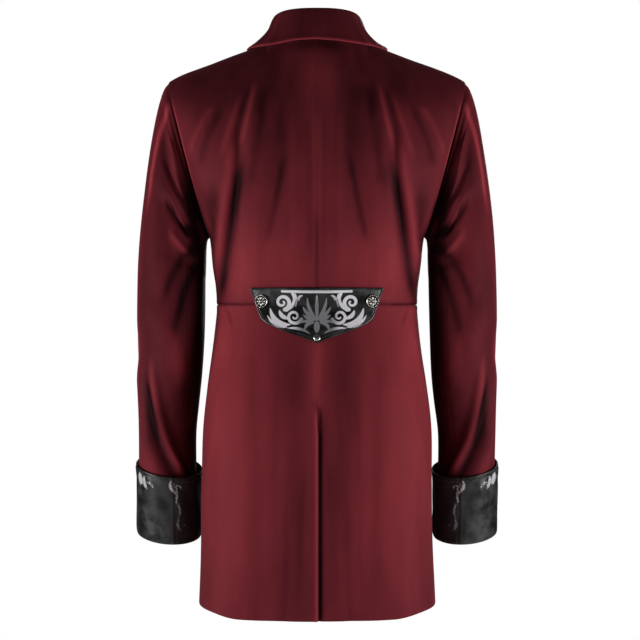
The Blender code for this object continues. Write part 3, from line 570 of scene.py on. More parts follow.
# The sleeve's tone and painted light, at places along it and angles round it, with painted shade beside the
# armhole
HEAD_SHADE = -0.34
HEAD_SHADE_REACH = 0.6
HEAD_SHADE_START = (46, 70)
HEAD_SHADE_END = (150, 170)
SleevePatch = namedtuple("SleevePatch", "place deg reach_place reach_deg amount")
SLEEVE_LEVEL = 0.36
SLEEVE_PAINTED_LIGHT = (
    # painted shade on the inner side, towards the body
    SleevePatch(8.5, 180, 12.0, 60, -0.46),
    # painted highlight down the outer line
    SleevePatch(8.0, 4, 16.0, 13, 0.50),
    SleevePatch(2.2, 120, 2.0, 26, -0.30),
    SleevePatch(2.3, 86, 0.7, 12, 0.20),
    SleevePatch(3.6, 64, 1.4, 18, -0.18),
    SleevePatch(3.9, 106, 0.6, 12, 0.22),
    SleevePatch(2.6, 150, 1.5, 24, 0.26),
    SleevePatch(5.6, 108, 0.9, 20, 0.16),
    SleevePatch(7.4, 50, 1.6, 22, -0.10),
    SleevePatch(9.5, 114, 0.9, 18, 0.22),
    SleevePatch(13.2, 60, 0.9, 18, 0.16),
    SleevePatch(11.4, 62, 1.5, 18, -0.20),
)
SLEEVE_PAINTED_LIGHT_LINES = (
    SleeveFold(0.2, 46, 5.6, 37, 0.85, 0.07),
    SleeveFold(4.2, 82, 4.6, 124, -0.30, 0.12, 0.1),
    SleeveFold(4.8, 106, 3.0, 152, -0.32, 0.12),
    SleeveFold(5.2, 84, 5.6, 128, 0.20, 0.16, 0.1),
    SleeveFold(3.4, 160, 8.4, 74, -0.24, 0.12),
    SleeveFold(5.4, 150, 9.4, 92, -0.18, 0.11),
    SleeveFold(9.4, 52, 13.6, 142, 0.50, 0.10, 0.2),
    SleeveFold(10.0, 44, 13.6, 124, -0.30, 0.14, 0.2),
    SleeveFold(10.6, 70, 13.6, 156, -0.26, 0.14, 0.2),
    SleeveFold(8.6, 92, 10.2, 124, 0.20, 0.14),
)

# The collar's tone and painted light: its level, painted highlights on its edge and fold, and a patch of
# painted highlight and one of painted shade on its fall
COLLAR_LEVEL = 0.28
COLLAR_EDGE_HIGHLIGHT = 0.50
COLLAR_EDGE_WIDTH = 0.04
COLLAR_FOLD_HIGHLIGHT = 0.08
COLLAR_FOLD_WIDTH = 0.3
COLLAR_PATCH = 0.16
COLLAR_PATCH_DEG = 46
COLLAR_PATCH_WIDTH_DEG = 3
COLLAR_PATCH_SPAN = (2.8, 3.6)
COLLAR_SHADE = -0.07
COLLAR_SHADE_DEG = 12
COLLAR_SHADE_WIDTH_DEG = 26
COLLAR_SHADE_SPAN = (3.0, 4.4)

# The print on the tab's left half, in metres across and up: a palmette of petals, its heart and leaf,
# scrolls, and stems through a few points
Leaf = namedtuple("Leaf", "start end bow width")
Volute = namedtuple("Volute", "x z radius start_deg turns width")
Stem = namedtuple("Stem", "points width")
STROKE_POINTS = 60
VOLUTE_WINDING = 0.82
VOLUTE_THINNING = 0.55
PALMETTE_FOOT = (0.0, -0.4120)
PALMETTE_LIFT = 0.002
PALMETTE_PETALS = ((0, 0.034), (25, 0.032), (50, 0.026), (76, 0.020))
PETAL_BOW = -0.10
PETAL_WIDTH = 0.0050
TAB_LEAVES = (
    Leaf((0.0, -0.4150), (0.0, -0.4300), 0.0, 0.0085),
    Leaf((0.0050, -0.4170), (0.0170, -0.4270), 0.25, 0.0050),
    Leaf((0.0040, -0.4160), (0.0230, -0.4165), 0.12, 0.0040),
    Leaf((0.0400, -0.4100), (0.0530, -0.3985), -0.20, 0.0060),
    Leaf((0.0380, -0.4190), (0.0660, -0.3960), -0.22, 0.0075),
    Leaf((0.0420, -0.4225), (0.0700, -0.4060), -0.16, 0.0048),
    Leaf((0.0100, -0.4320), (0.0420, -0.4245), 0.10, 0.0040),
    Leaf((0.0200, -0.3770), (0.0250, -0.3850), 0.30, 0.0036),
)
TAB_VOLUTES = (
    Volute(0.0320, -0.4075, 0.0108, 200, 1.35, 0.0050),
    Volute(0.0490, -0.3868, 0.0112, 250, -1.30, 0.0058),
)
TAB_STEMS = (
    Stem(((0.0, -0.3716), (0.016, -0.3716), (0.032, -0.3712), (0.049, -0.3706)), 0.0038),
    Stem(((0.0345, -0.3730), (0.0318, -0.3820), (0.0352, -0.3920), (0.0430, -0.3985)), 0.0042),
    Stem(((0.0305, -0.3745), (0.0282, -0.3830), (0.0300, -0.3930)), 0.0014),
)

# The print on the cuffs, in metres round from the outer line and down from the top edge: wisps, each
# with a small one beside it, and a line that wavers down beside each of two seams
Wisp = namedtuple("Wisp", "round top length width")
CUFF_WISPS = (
    Wisp(0.032, 0.007, 0.014, 0.0125),
    Wisp(0.045, 0.007, 0.018, 0.0075),
    Wisp(0.089, 0.006, 0.018, 0.0050),
    Wisp(0.098, 0.068, 0.016, 0.0040),
    Wisp(-0.040, 0.007, 0.016, 0.0110),
    Wisp(-0.086, 0.008, 0.018, 0.0055),
)
WISP_SLANT = 0.005
WISP_BOW = 0.16
SMALL_WISP = ((0.006, 0.008), (0.016, 0.012))
SMALL_WISP_BOW = -0.30
SMALL_WISP_SHARE = 0.30
CUFF_LINES = (0.094, -0.052)
WAVERING = ((0.000, 0.010), (0.004, 0.024), (0.002, 0.036), (0.006, 0.050), (0.003, 0.076))
WAVERING_WIDTH = 0.0014

# Edges that are sewn, and so drawn in to the seam
SEAMED_EDGES = {
    "back": ("top", "bottom", "first", "last"),
    "front": ("top", "bottom", "first"),
    "skirt": ("top", "first"),
    "top_sleeve": ("first", "last"),
    "under_sleeve": ("first", "last"),
}

# A cut of flat cloth: its width, length and area
Cut = namedtuple("Cut", "width length area")


def column(table, name):
    """One named column of a table as an array."""
    return np.array([getattr(row, name) for row in table], float)


def curve(x, y, at):
    """Cubic Hermite curve through the points (x, y), with slopes taken from the neighbours."""
    slopes = np.gradient(y, x)
    at = np.clip(np.asarray(at, float), x[0], x[-1])
    i = np.clip(np.searchsorted(x, at, side="right") - 1, 0, len(x) - 2)
    step = x[i + 1] - x[i]
    t = (at - x[i]) / step
    rise = t * t * (3 - 2 * t)
    return (
        y[i] * (1 - rise)
        + y[i + 1] * rise
        + slopes[i] * step * t * (1 - t) ** 2
        - slopes[i + 1] * step * t * t * (1 - t)
    )


def along(table, key, name, at):
    """A column read at any key by a smooth curve through the table's rows."""
    x, y = column(table, key), column(table, name)
    if x[0] > x[-1]:
        x, y = x[::-1], y[::-1]
    return curve(x, y, at)


def smooth(low, high, value):
    """0 below low, 1 above high, and between them the easy S of three squares less two cubes."""
    t = np.clip((value - low) / (high - low), 0, 1)
    return t * t * (3 - 2 * t)


def bell(distance, width):
    """The bell curve: 1 where the distance is nothing, and 1 / e at the width on both sides."""
    return np.exp(-((distance / width) ** 2))


def spaced(spans):
    """Places from spans of (first, last, count), each joined to the one before."""
    parts = [np.linspace(*span) for span in spans]
    return np.concatenate([parts[0]] + [part[1:] for part in parts[1:]])


def degrees_round(count):
    """Angles of a closed grid's columns."""
    return np.arange(count) * 360 / count


def off_outer_line(deg):
    """How far an angle lies from the sleeve's outer line, either way round."""
    return 180 - np.abs(180 - deg)


def unit(vectors):
    """Each vector divided by its own length."""
    return vectors / np.maximum(np.linalg.norm(vectors, axis=-1, keepdims=True), 1e-12)


def normals_of(points, closed=False):
    """Outward normals of a grid: the cross product of its steps across and down."""
    if closed:
        across = np.roll(points, -1, axis=1) - np.roll(points, 1, axis=1)
    else:
        across = np.gradient(points, axis=1)
    down = np.gradient(points, axis=0)
    return unit(np.cross(across, down))


def share(first, second):
    """Gives both sides of a seam the same normals, so that their walls stay side by side."""
    mean = unit(first + second)
    first[...] = mean
    second[...] = mean


def shifted(points, normals, height):
    """Each point moved along its normal by its own height."""
    return points + normals * np.asarray(height)[..., None]


def mirrored(points):
    """The same grid for the other side of the body, with its columns turned round."""
    return points[:, ::-1] * MIRROR


def edge_distance(points, edge):
    """How far each grid point lies from the named edge, measured along the grid's lines."""
    axis = 0 if edge in ("top", "bottom") else 1
    steps = np.linalg.norm(np.diff(points, axis=axis), axis=-1)
    total = np.zeros(points.shape[:2])
    if axis == 0:
        total[1:] = np.cumsum(steps, axis=0)
    else:
        total[:, 1:] = np.cumsum(steps, axis=1)
    if edge == "bottom":
        total = total[-1:] - total
    if edge == "last":
        total = total[:, -1:] - total
    return total


def drawn_in(points, edges, amount):
    """Draws the named edges in by an amount along the grid's lines, easing off further in."""
    result = points.copy()
    for edge in edges:
        axis = 0 if edge in ("top", "bottom") else 1
        inwards = unit(np.gradient(points, axis=axis))
        if edge in ("bottom", "last"):
            inwards = -inwards
        pull = amount * (1 - smooth(0, EASE, edge_distance(points, edge)))
        result = result + inwards * pull[..., None]
    return result


def clear_of(points, edges, span=SEAM_CLEAR):
    """A mask that is 0 on the named edges and 1 further in than the span."""
    mask = np.ones(points.shape[:2])
    for edge in edges:
        mask = mask * smooth(0, span, edge_distance(points, edge))
    return mask


def seam_roll(points, edges, height=SEAM_ROLL):
    """A soft roll beside each seam: from a groove at the edge up to its height, then dying away."""
    total = np.zeros(points.shape[:2])
    for edge in edges:
        d = edge_distance(points, edge) / ROLL_REACH
        total += height * (d * np.exp(1 - d) - GROOVE_SHARE * bell(d, GROOVE_REACH))
    return total


def line_height(across, down, start, end, height, width, bow=0.0):
    """Height of one fold: a bell across a line that bows to one side, fading at the line's ends."""
    line = np.subtract(end, start)
    length = np.hypot(*line)
    u = ((across - start[0]) * line[0] + (down - start[1]) * line[1]) / length**2
    off = ((across - start[0]) * line[1] - (down - start[1]) * line[0]) / length
    off = off - bow * 4 * u * (1 - u)
    return height * smooth(*FOLD_FADE, u) * smooth(*FOLD_FADE, 1 - u) * bell(off, width)


def fold_height(folds, points, side=None):
    """Sum of a table of folds at points of the body. A named side makes them a little uneven."""
    x, z = np.abs(points[..., 0]), points[..., 2]
    total = np.zeros(x.shape)
    for k, f in enumerate(folds):
        start, end = (f.start_x, f.start_z), (f.end_x, f.end_z)
        total += uneven(k, side) * line_height(x, z, start, end, f.height, f.width, f.bow)
    return total


def uneven(k, side):
    """A factor near 1 that differs from fold to fold and from the left side to the right."""
    if side is None:
        return 1.0
    return 1.0 + FOLD_UNEVENNESS * np.sin(FOLD_TURN * k + (0.0 if side == "left" else SIDE_TURN))


def ripple(points, side, height, span):
    """Faint unevenness of worn cloth: a few long waves that cross each other."""
    x, y, z = (points[..., k] / span for k in range(3))
    turn = 0.0 if side == "left" else WAVES_TURN
    total = np.zeros(x.shape)
    for w in WAVES:
        total += w.weight * np.sin(w.x * x + w.y * y + w.z * z + w.start + w.side_share * turn)
    return height * total / sum(w.weight for w in WAVES)


def worn_height(points, side, folds, fine_folds, fine, waves):
    """Large folds, and small folds and ripples where the mask lets them."""
    small = fold_height(fine_folds, points, side) + ripple(points, side, *waves)
    return fold_height(folds, points) + fine * small


def lap_height(points):
    """How far the left front is lifted where it lies over the right one."""
    return LAP_LIFT * (1 - smooth(LAP_FULL_X, LAP_END_X, np.abs(points[..., 0])))


def torso_points(angle, z):
    """Points of the closed body: a rounded-square section at each height, by angle from mid back."""
    s = np.sin(angle)
    half_width = along(TORSO, "z", "half_width", z)
    back = along(TORSO, "z", "back_y", z)
    front = along(TORSO, "z", "front_y", z)
    power = SECTION_POWER + (HEM_POWER - SECTION_POWER) * smooth(*HEM_SQUARING, WAIST_Z - z)
    reach = (1 - np.abs(s) ** power).clip(0) ** (1 / power)
    y = np.where(np.cos(angle) >= 0, back, front) * reach
    return np.stack(np.broadcast_arrays(half_width * s, y, z), axis=-1)


def top_edge(s, front, soften=0.0, ease=0.0):
    """The bodice's top edge: the neck seam, and from there the shoulder seam out to the armhole.

    For the rows below it, soften rounds off the corner between the two, and ease the slope's start.
    """
    x = SHOULDER_X * s
    neck = np.sqrt((1 - (x / NECK_HALF_WIDTH) ** 2).clip(0))
    blunt = (NECK_BLUNTING * soften) ** 3
    neck = neck**4 * (1 + blunt) / np.maximum(neck**3 + blunt, 1e-12)
    past = (np.abs(x) - NECK_HALF_WIDTH) / (SHOULDER_X - NECK_HALF_WIDTH)
    bend = (SHOULDER_BLUNTING * ease) ** 2
    r = (past + np.sqrt(past**2 + bend)) / (1 + np.sqrt(1 + bend))
    y = NECK_CENTRE_Y + np.where(front, -NECK_FRONT_REACH, NECK_BACK_REACH) * neck
    back_drop = NECK_BACK_DROP * neck ** (NECK_BACK_POWER + NECK_SOFT_POWER * soften)
    drop = np.where(front, NECK_FRONT_DROP * neck**NECK_FRONT_POWER, back_drop)
    z = -drop - SHOULDER_FALL * r**SHOULDER_POWER - SHOULDER_ROUNDING * r**TIP_POWER
    return np.stack([x, y - NECK_CENTRE_Y * r, z], axis=-1)


def section_columns(stand):
    """Shares of the half width for a bodice's columns: past the middle, round the neck, to the side."""
    neck = NECK_HALF_WIDTH * np.sin(np.linspace(0, np.pi / 2, NECK_COLUMNS)) / SHOULDER_X
    start = np.arccos(NECK_HALF_WIDTH / SHOULDER_X)
    inwards = 1 - np.linspace(0, 1, SHOULDER_COLUMNS)[1:]
    shoulder = np.cos(start * inwards**SHOULDER_CROWDING)
    past = np.linspace(-stand, 0, STAND_COLUMNS, endpoint=False) / SHOULDER_X if stand else []
    return np.concatenate([past, neck, shoulder])


def bodice_points(front, stand=0.0):
    """Outer points of the left half bodice, from the neck and shoulder down to the waist.

    Each column leaves the top edge, arches over to its deepest point at the armhole's middle, and
    below the armhole follows the torso's sections.
    """
    s = section_columns(stand)
    line = "front_y" if front else "back_y"
    side = -1.0 if front else 1.0
    top = top_edge(s, front)
    reach = (1 - np.abs(s) ** SECTION_POWER).clip(0)
    mid_y = along(TORSO, "z", line, ARMHOLE_MID_Z)
    edge_y = side * ARMHOLE_REACH
    mid_x = (SHOULDER_X + UNDERARM_X) / 2
    middle_y = edge_y + (mid_y - edge_y) * reach**BLADE_EXPONENT
    neck = (1 - (SHOULDER_X * s / NECK_HALF_WIDTH) ** 2).clip(0)
    neck = (1 + START_BLUNTING) * neck**2 / (neck + START_BLUNTING)
    start = np.radians(FRONT_START_DEG if front else BACK_START_DEG) * neck
    ridge = bell(SHOULDER_X * s, RIDGE_WIDTH)
    ridge_y = NECK_CENTRE_Y + (top[np.argmin(np.abs(s)), 1] - NECK_CENTRE_Y) * ridge

    down = np.linspace(0, 1, UPPER_ROWS)[:, None]
    turn = start + (np.pi / 2 - start) * down
    out = (np.sin(turn) - np.sin(start)) / (1 - np.sin(start))
    fall = (np.cos(start) - np.cos(turn)) / np.cos(start)
    grid = np.broadcast_to(s, (UPPER_ROWS, len(s)))
    eased = top_edge(grid, front, smooth(0, NECK_SOFTENING, down), smooth(0, SLOPE_SOFTENING, down))
    x = s * (SHOULDER_X + (mid_x - SHOULDER_X) * fall)
    y = ridge_y + (middle_y - ridge_y) * out + (eased[..., 1] - ridge_y) * (1 - down) ** NECK_HOLD_POWER
    z = eased[..., 2] + (ARMHOLE_MID_Z - eased[..., 2]) * fall
    upper = np.stack([x, y, z], axis=-1)

    down = np.linspace(0, 1, MIDDLE_ROWS)[1:, None]
    turn = np.pi / 2 * down
    centre_z = ARMHOLE_MID_Z + (UNDERARM_Z - ARMHOLE_MID_Z) * down
    edge_z = ARMHOLE_MID_Z + (UNDERARM_Z - ARMHOLE_MID_Z) * np.sin(turn)
    z = centre_z + (edge_z - centre_z) * np.abs(s) ** UNDERARM_POWER
    edge_x = mid_x + (UNDERARM_X - mid_x) * np.sin(turn)
    exponent = BLADE_EXPONENT + (SIDE_EXPONENT - BLADE_EXPONENT) * down
    armhole_y = edge_y * np.cos(turn)
    y = armhole_y + (along(TORSO, "z", line, z) - armhole_y) * reach**exponent
    middle = np.stack([edge_x * s, y, z], axis=-1)

    angle = np.arcsin(s.clip(-1, 1))
    angle = np.pi - angle if front else angle
    z = np.linspace(UNDERARM_Z, WAIST_Z, LOWER_ROWS)[1:, None]
    lower = torso_points(angle[None, :], np.broadcast_to(z, (len(z), len(s))))
    return np.concatenate([upper, middle, lower])


def beside_tab(points):
    """0 under the back tab and 1 well clear of it."""
    x, z = np.abs(points[..., 0]), points[..., 2]
    above, below = smooth(*TAB_TOP_CLEAR, z - TAB_TOP_Z), smooth(*TAB_POINT_CLEAR, -z)
    return np.maximum.reduce([smooth(*TAB_SIDE_CLEAR, x), above, below])


def bodice(side):
    """The back and the front of one side as {name: (outer points, normals)}, their seams shared."""
    back = bodice_points(front=False)
    front = bodice_points(front=True, stand=BUTTON_STAND)[:, ::-1]
    fine = clear_of(back, ("top", "first", "last", "bottom")) * beside_tab(back)
    height = worn_height(back, side, BACK_FOLDS, BACK_FINE_FOLDS, fine, BODICE_RIPPLE)
    height += seam_roll(back, ("last", "top")) + seam_roll(back, ("first",), MIDDLE_ROLL)
    height += beside_tab(back) * seam_roll(back, ("bottom",), WAIST_ROLL)
    row = np.arange(len(back))[:, None]
    pressed = smooth(*PRESS_FIRST_ROWS, row) * smooth(*PRESS_LAST_ROWS, UNDERARM_ROW - row)
    height += ARMHOLE_PRESS * pressed * bell(edge_distance(back, "last"), EDGE_REACH)
    back = shifted(back, normals_of(back), height)

    fine = clear_of(front, ("top", "first", "bottom"))
    height = worn_height(front, side, FRONT_FOLDS, FRONT_FINE_FOLDS, fine, BODICE_RIPPLE)
    height += seam_roll(front, ("first", "top", "bottom"))
    if side == "left":
        height += lap_height(front)
    front = shifted(front, normals_of(front), height)

    back_normals, front_normals = normals_of(back), normals_of(front)
    share(back_normals[UNDERARM_ROW:, -1], front_normals[UNDERARM_ROW:, 0])
    share(back_normals[0, -SHOULDER_COLUMNS:][::-1], front_normals[0, :SHOULDER_COLUMNS])
    back_normals[:, 0, 0] = 0
    back_normals[:, 0] = unit(back_normals[:, 0])
    return {"back": (back, back_normals), "front": (front, front_normals)}


def skirt(side):
    """Outer points and normals of half the skirt, from the middle of the back to its front edge.

    At the vent the left half lies over and has its edge lifted, and the right half runs on under it.
    """
    over = side == "left"
    z = np.linspace(WAIST_Z, HEM_Z, SKIRT_ROWS)[:, None]
    out = np.linspace(0, 1, SKIRT_COLUMNS)[None, :] ** SKIRT_CROWDING
    edge_x = -(VENT_EDGE_X if over else UNDERLAP) * smooth(*VENT_OPENING, VENT_TOP_Z - z)
    first = np.arcsin(edge_x / along(TORSO, "z", "half_width", z))
    last = np.radians(along(CUTAWAY, "z", "deg", z))
    angle = first + (last - first) * out
    corner = smooth(0, 1, 1 - (last - angle) / np.radians(CORNER_SPAN_DEG))
    down = (WAIST_Z - z) / (WAIST_Z - HEM_Z)
    rise = CORNER_RISE * corner**2 + SIDE_RISE * smooth(*SIDE_RISE_SPAN, np.sin(angle))
    z = z + rise * down**RISE_POWER
    points = torso_points(angle, z)
    x, edge = points[..., 0], edge_distance(points, "first")
    fine = clear_of(points, ("top",), WAIST_CLEAR) * beside_tab(points) * smooth(0, VENT_CLEAR, edge)
    height = worn_height(points, side, SKIRT_FOLDS, SKIRT_FINE_FOLDS, fine, SKIRT_RIPPLE)
    height += beside_tab(points) * seam_roll(points, ("top",), WAIST_ROLL)
    if over:
        above = VENT_EASE_Z * smooth(0, VENT_EASE_X, x)
        lifted = smooth(0, 1, (VENT_TOP_Z - z + above) / (VENT_START + above))
        height += VENT_LIFT * lifted * (1 - smooth(VENT_FULL_X, VENT_END_X, x))
        height += VENT_PRESS * lifted * bell(edge, EDGE_REACH)
    else:
        below = smooth(0, VENT_GAP_START, VENT_TOP_Z - z)
        height -= VENT_GAP_DEPTH * below * bell(x - VENT_GAP_X, VENT_GAP_WIDTH)
    points = shifted(points, normals_of(points), height)
    normals = normals_of(points)
    normals[z[:, 0] > VENT_TOP_Z, 0, 0] = 0
    return points, unit(normals)


def end_step():
    """How far the sleeve's middle moves over its last ring, for places past its end."""
    last, before = SLEEVE[-1], SLEEVE[-2]
    return (0.0, last.centre_y - before.centre_y, last.outer_z - before.outer_z)


def sleeve_fold_height(place, deg, folds, side=None):
    """Sum of the sleeve's folds in the chart of places and angles, angles counted in sixths of a turn."""
    total = np.zeros(np.broadcast_shapes(place.shape, deg.shape))
    for k, f in enumerate(folds):
        start = (f.start_place, f.start_deg / 60)
        end = (f.end_place, f.end_deg / 60)
        height = line_height(place, deg / 60, start, end, f.height, f.width, f.bow)
        total += uneven(k, side) * height
    return total


def sleeve_points(around, outer_place, inner_place=None, outer_off=0.0, inner_off=None, height=None):
    """Rings of the left sleeve, each an ellipse through a place on its outer and one on its inner line.

    outer_off and inner_off move it out, and height is a function of place and degrees that adds folds.
    """
    phi = np.radians(degrees_round(around))[None, :]
    inwards = (1 - np.cos(phi)) / 2

    def across(outer, inner):
        outer = np.asarray(outer, float)
        inner = outer if inner is None else np.asarray(inner, float)
        return outer[..., None] * (1 - inwards) + inner[..., None] * inwards

    place, extra = across(outer_place, inner_place), across(outer_off, inner_off)
    inside = np.clip(place, 0, SLEEVE_END)
    index = np.arange(len(SLEEVE), dtype=float)
    read = {name: curve(index, column(SLEEVE, name), inside) for name in Ring._fields}
    outer = np.stack([read["outer_x"], read["centre_y"], read["outer_z"]], -1)
    inner = np.stack([read["inner_x"], read["centre_y"], read["inner_z"]], -1)
    centre = (outer + inner) / 2 + (place - inside)[..., None] * np.array(end_step())
    half_width = np.linalg.norm(outer - inner, axis=-1) / 2
    out_axis = unit(outer - inner)
    tilt = np.radians(read["tilt_deg"])
    back_axis = np.stack([np.zeros_like(tilt), np.cos(tilt), -np.sin(tilt)], -1)
    if height is not None:
        extra = extra + height(place, np.degrees(phi))
    sideways = ((half_width + extra) * np.cos(phi))[..., None] * out_axis
    return centre + sideways + ((read["half_depth"] + extra) * np.sin(phi))[..., None] * back_axis


def sleeve(side):
    """Outer points, normals, and tone with painted light and shade of the left sleeve, its head set back
    behind the armhole's edge.
    """

    def height(place, deg):
        large = sleeve_fold_height(place, deg, SLEEVE_FOLDS)
        fine = sleeve_fold_height(place, deg, SLEEVE_FINE_FOLDS, side)
        return large + fine * smooth(*HEAD_FADE, place)

    place = np.linspace(0, 1, SLEEVE_ROWS) ** SLEEVE_CROWDING * SLEEVE_END
    slanted = place + END_SLANT * smooth(SLEEVE_END - SLANT_RINGS, SLEEVE_END, place)
    points = sleeve_points(SLEEVE_AROUND, place, slanted, height=height)
    deg = degrees_round(SLEEVE_AROUND)[None, :]
    head = bell(edge_distance(points, "top"), HEAD_REACH)
    set_back = HEAD_SET_BACK * head * (1 - TIP_SHARE * bell(off_outer_line(deg), TIP_SPAN_DEG))
    off = ripple(points, side, *SLEEVE_RIPPLE) - set_back
    points = shifted(points, -normals_of(points, closed=True), off)
    points = drawn_in(points, ("top",), SEAM_DRAW)
    return points, -normals_of(points, closed=True), sleeve_nap(place[:, None], deg)


def sleeve_pieces(grid):
    """The sleeve's grid cut lengthwise at its two seams: the top sleeve and the under sleeve."""
    around = np.concatenate([grid, grid], axis=1)
    return {
        "top_sleeve": around[:, FRONT_SEAM : SLEEVE_AROUND + BACK_SEAM + 1],
        "under_sleeve": around[:, BACK_SEAM : FRONT_SEAM + 1],
    }


def cuff(side):
    """The middle surface of the left cuff, from the profile of its cloth, with dents and a seam."""
    index = np.arange(len(CUFF), dtype=float)
    at = spaced(CUFF_SPANS)
    profile = [curve(index, column(CUFF, name), at) for name in CuffPoint._fields]
    points = sleeve_points(CUFF_AROUND, *profile)
    at, deg = at[:, None], degrees_round(CUFF_AROUND)[None, :]
    turn = np.radians(deg)
    dents = CUFF_DENT * np.sin(5 * turn + 1.3 * at + (side == "left"))
    dents += SMALL_CUFF_DENT * np.sin(9 * turn - 2.1 * at)
    dents *= smooth(*DENTS_START, at) * (1 - smooth(*DENTS_END, at))
    seam = CUFF_RIDGE_HEIGHT * bell(deg - CUFF_RIDGE_DEG, CUFF_RIDGE_WIDTH_DEG)
    seam -= CUFF_SEAM_DEPTH * bell(deg - CUFF_SEAM_DEG, CUFF_SEAM_WIDTH_DEG)
    off = dents + seam * (1 - smooth(*CUFF_SEAM_END, at))
    points = shifted(points, -normals_of(points, closed=True), off)
    return points, -normals_of(points, closed=True)


def collar():
    """The collar's middle surface, from its right front end round the back to the left one.

    Each profile rises from the neck seam as the stand, rolls over at the fold and falls to its edge.
    Also returns the places of its rows on the profile and the angles of its columns.
    """
    deg = np.linspace(-COLLAR[-1].deg, COLLAR[-1].deg, COLLAR_COLUMNS)
    turned, flip = np.abs(deg), np.sign(deg)
    psi, in_front = np.radians(turned), turned > 90

    def point(name):
        return np.stack([along(COLLAR, "deg", f"{name}_{axis}", turned) for axis in "xyz"], -1)

    seam = top_edge(NECK_HALF_WIDTH * np.sin(psi) / SHOULDER_X, in_front)
    fold, fall, edge = point("fold"), point("fall"), point("edge")
    outward = unit((fold - (0, NECK_CENTRE_Y, 0)) * (1, 1, 0))
    up = np.array((0.0, 0.0, 1.0))
    foot = seam + up * (SEAM + lap_height(seam) * in_front)[:, None] - outward * FOOT_INSET
    inner = fold - (outward + up) * FOLD_ROLL
    outer = fold + (outward - up) * FOLD_ROLL
    stand = (foot + inner) / 2 + outward * STAND_BULGE
    knots = np.array([foot, stand, inner, fold, outer, fall, edge]).reshape(len(COLLAR_PLACES), -1)
    at = spaced(COLLAR_SPANS)
    profile = np.stack([curve(COLLAR_PLACES, knot, at) for knot in knots.T], -1)
    points = profile.reshape(len(at), len(deg), 3)
    points[..., 0] *= flip
    at = at[:, None]
    waver = COLLAR_WAVER * np.sin(psi * 7 * flip + 0.6) * smooth(*WAVER_SPAN, at)
    return shifted(points, normals_of(points), waver), at, deg[None, :]


def back_surface(x, z):
    """A point of the coat's back, bodice or skirt, and its normal."""
    step = 0.002

    def point(px, pz):
        angle = np.arcsin(px / along(TORSO, "z", "half_width", pz))
        return torso_points(angle, pz)

    x, z = np.broadcast_arrays(np.asarray(x, float), np.asarray(z, float))
    across = point(x + step, z) - point(x - step, z)
    down = point(x, z - step) - point(x, z + step)
    base = point(x, z)
    normal = unit(np.cross(across, down))
    height = fold_height(BACK_FOLDS, base) * (z > WAIST_Z)
    height = height + fold_height(SKIRT_FOLDS, base) * (z <= WAIST_Z)
    return shifted(base, normal, height), normal


def tab_chart():
    """Places of the tab's grid: a fan of columns between its top edge and its lower outline."""
    out = np.linspace(0, 1, TAB_COLUMNS)
    index = np.linspace(0, 1, len(TAB_OUTLINE))
    low_x, low_z = (curve(index, column(TAB_OUTLINE, name), out) for name in "xz")
    top_x = (TAB_OUTLINE[-1].x + TAB_CORNER_OUT) * out
    low_x, top_x = (np.concatenate([-half[:0:-1], half]) for half in (low_x, top_x))
    low_z = np.concatenate([low_z[:0:-1], low_z])
    down = np.linspace(0, 1, TAB_ROWS)[:, None]
    return top_x + (low_x - top_x) * down, TAB_TOP_Z + (low_z - TAB_TOP_Z) * down


def grid_mesh(name, points, quads, marks, fields):
    """A mesh from points and four-cornered faces, with material marks and named vertex values."""
    mesh = bpy.data.meshes.new(name)
    mesh.vertices.add(len(points))
    mesh.vertices.foreach_set("co", points.astype(np.float32).ravel())
    mesh.loops.add(quads.size)
    mesh.loops.foreach_set("vertex_index", quads.astype(np.int32).ravel())
    mesh.polygons.add(len(quads))
    mesh.polygons.foreach_set("loop_start", np.arange(0, quads.size, 4, dtype=np.int32))
    mesh.polygons.foreach_set("material_index", marks.astype(np.int32))
    mesh.update(calc_edges=True)
    for key, values in fields.items():
        layer = mesh.attributes.new(key, "FLOAT", "POINT")
        layer.data.foreach_set("value", values.astype(np.float32))
    mesh.validate()
    mesh.shade_smooth()
    return mesh


def place_piece(name, mesh, finishes):
    """A new object at the origin with its materials."""
    for finish in finishes:
        mesh.materials.append(finish)
    made = bpy.data.objects.new(name, mesh)
    bpy.context.scene.collection.objects.link(made)
    return made


def quads_between(index, closed):
    """Faces of a grid of vertex numbers, row by row. A closed grid joins its last column to its first."""
    right = np.roll(index, -1, axis=1) if closed else index[:, 1:]
    left = index if closed else index[:, :-1]
    return np.stack([left[:-1], left[1:], right[1:], right[:-1]], axis=-1).reshape(-1, 4)


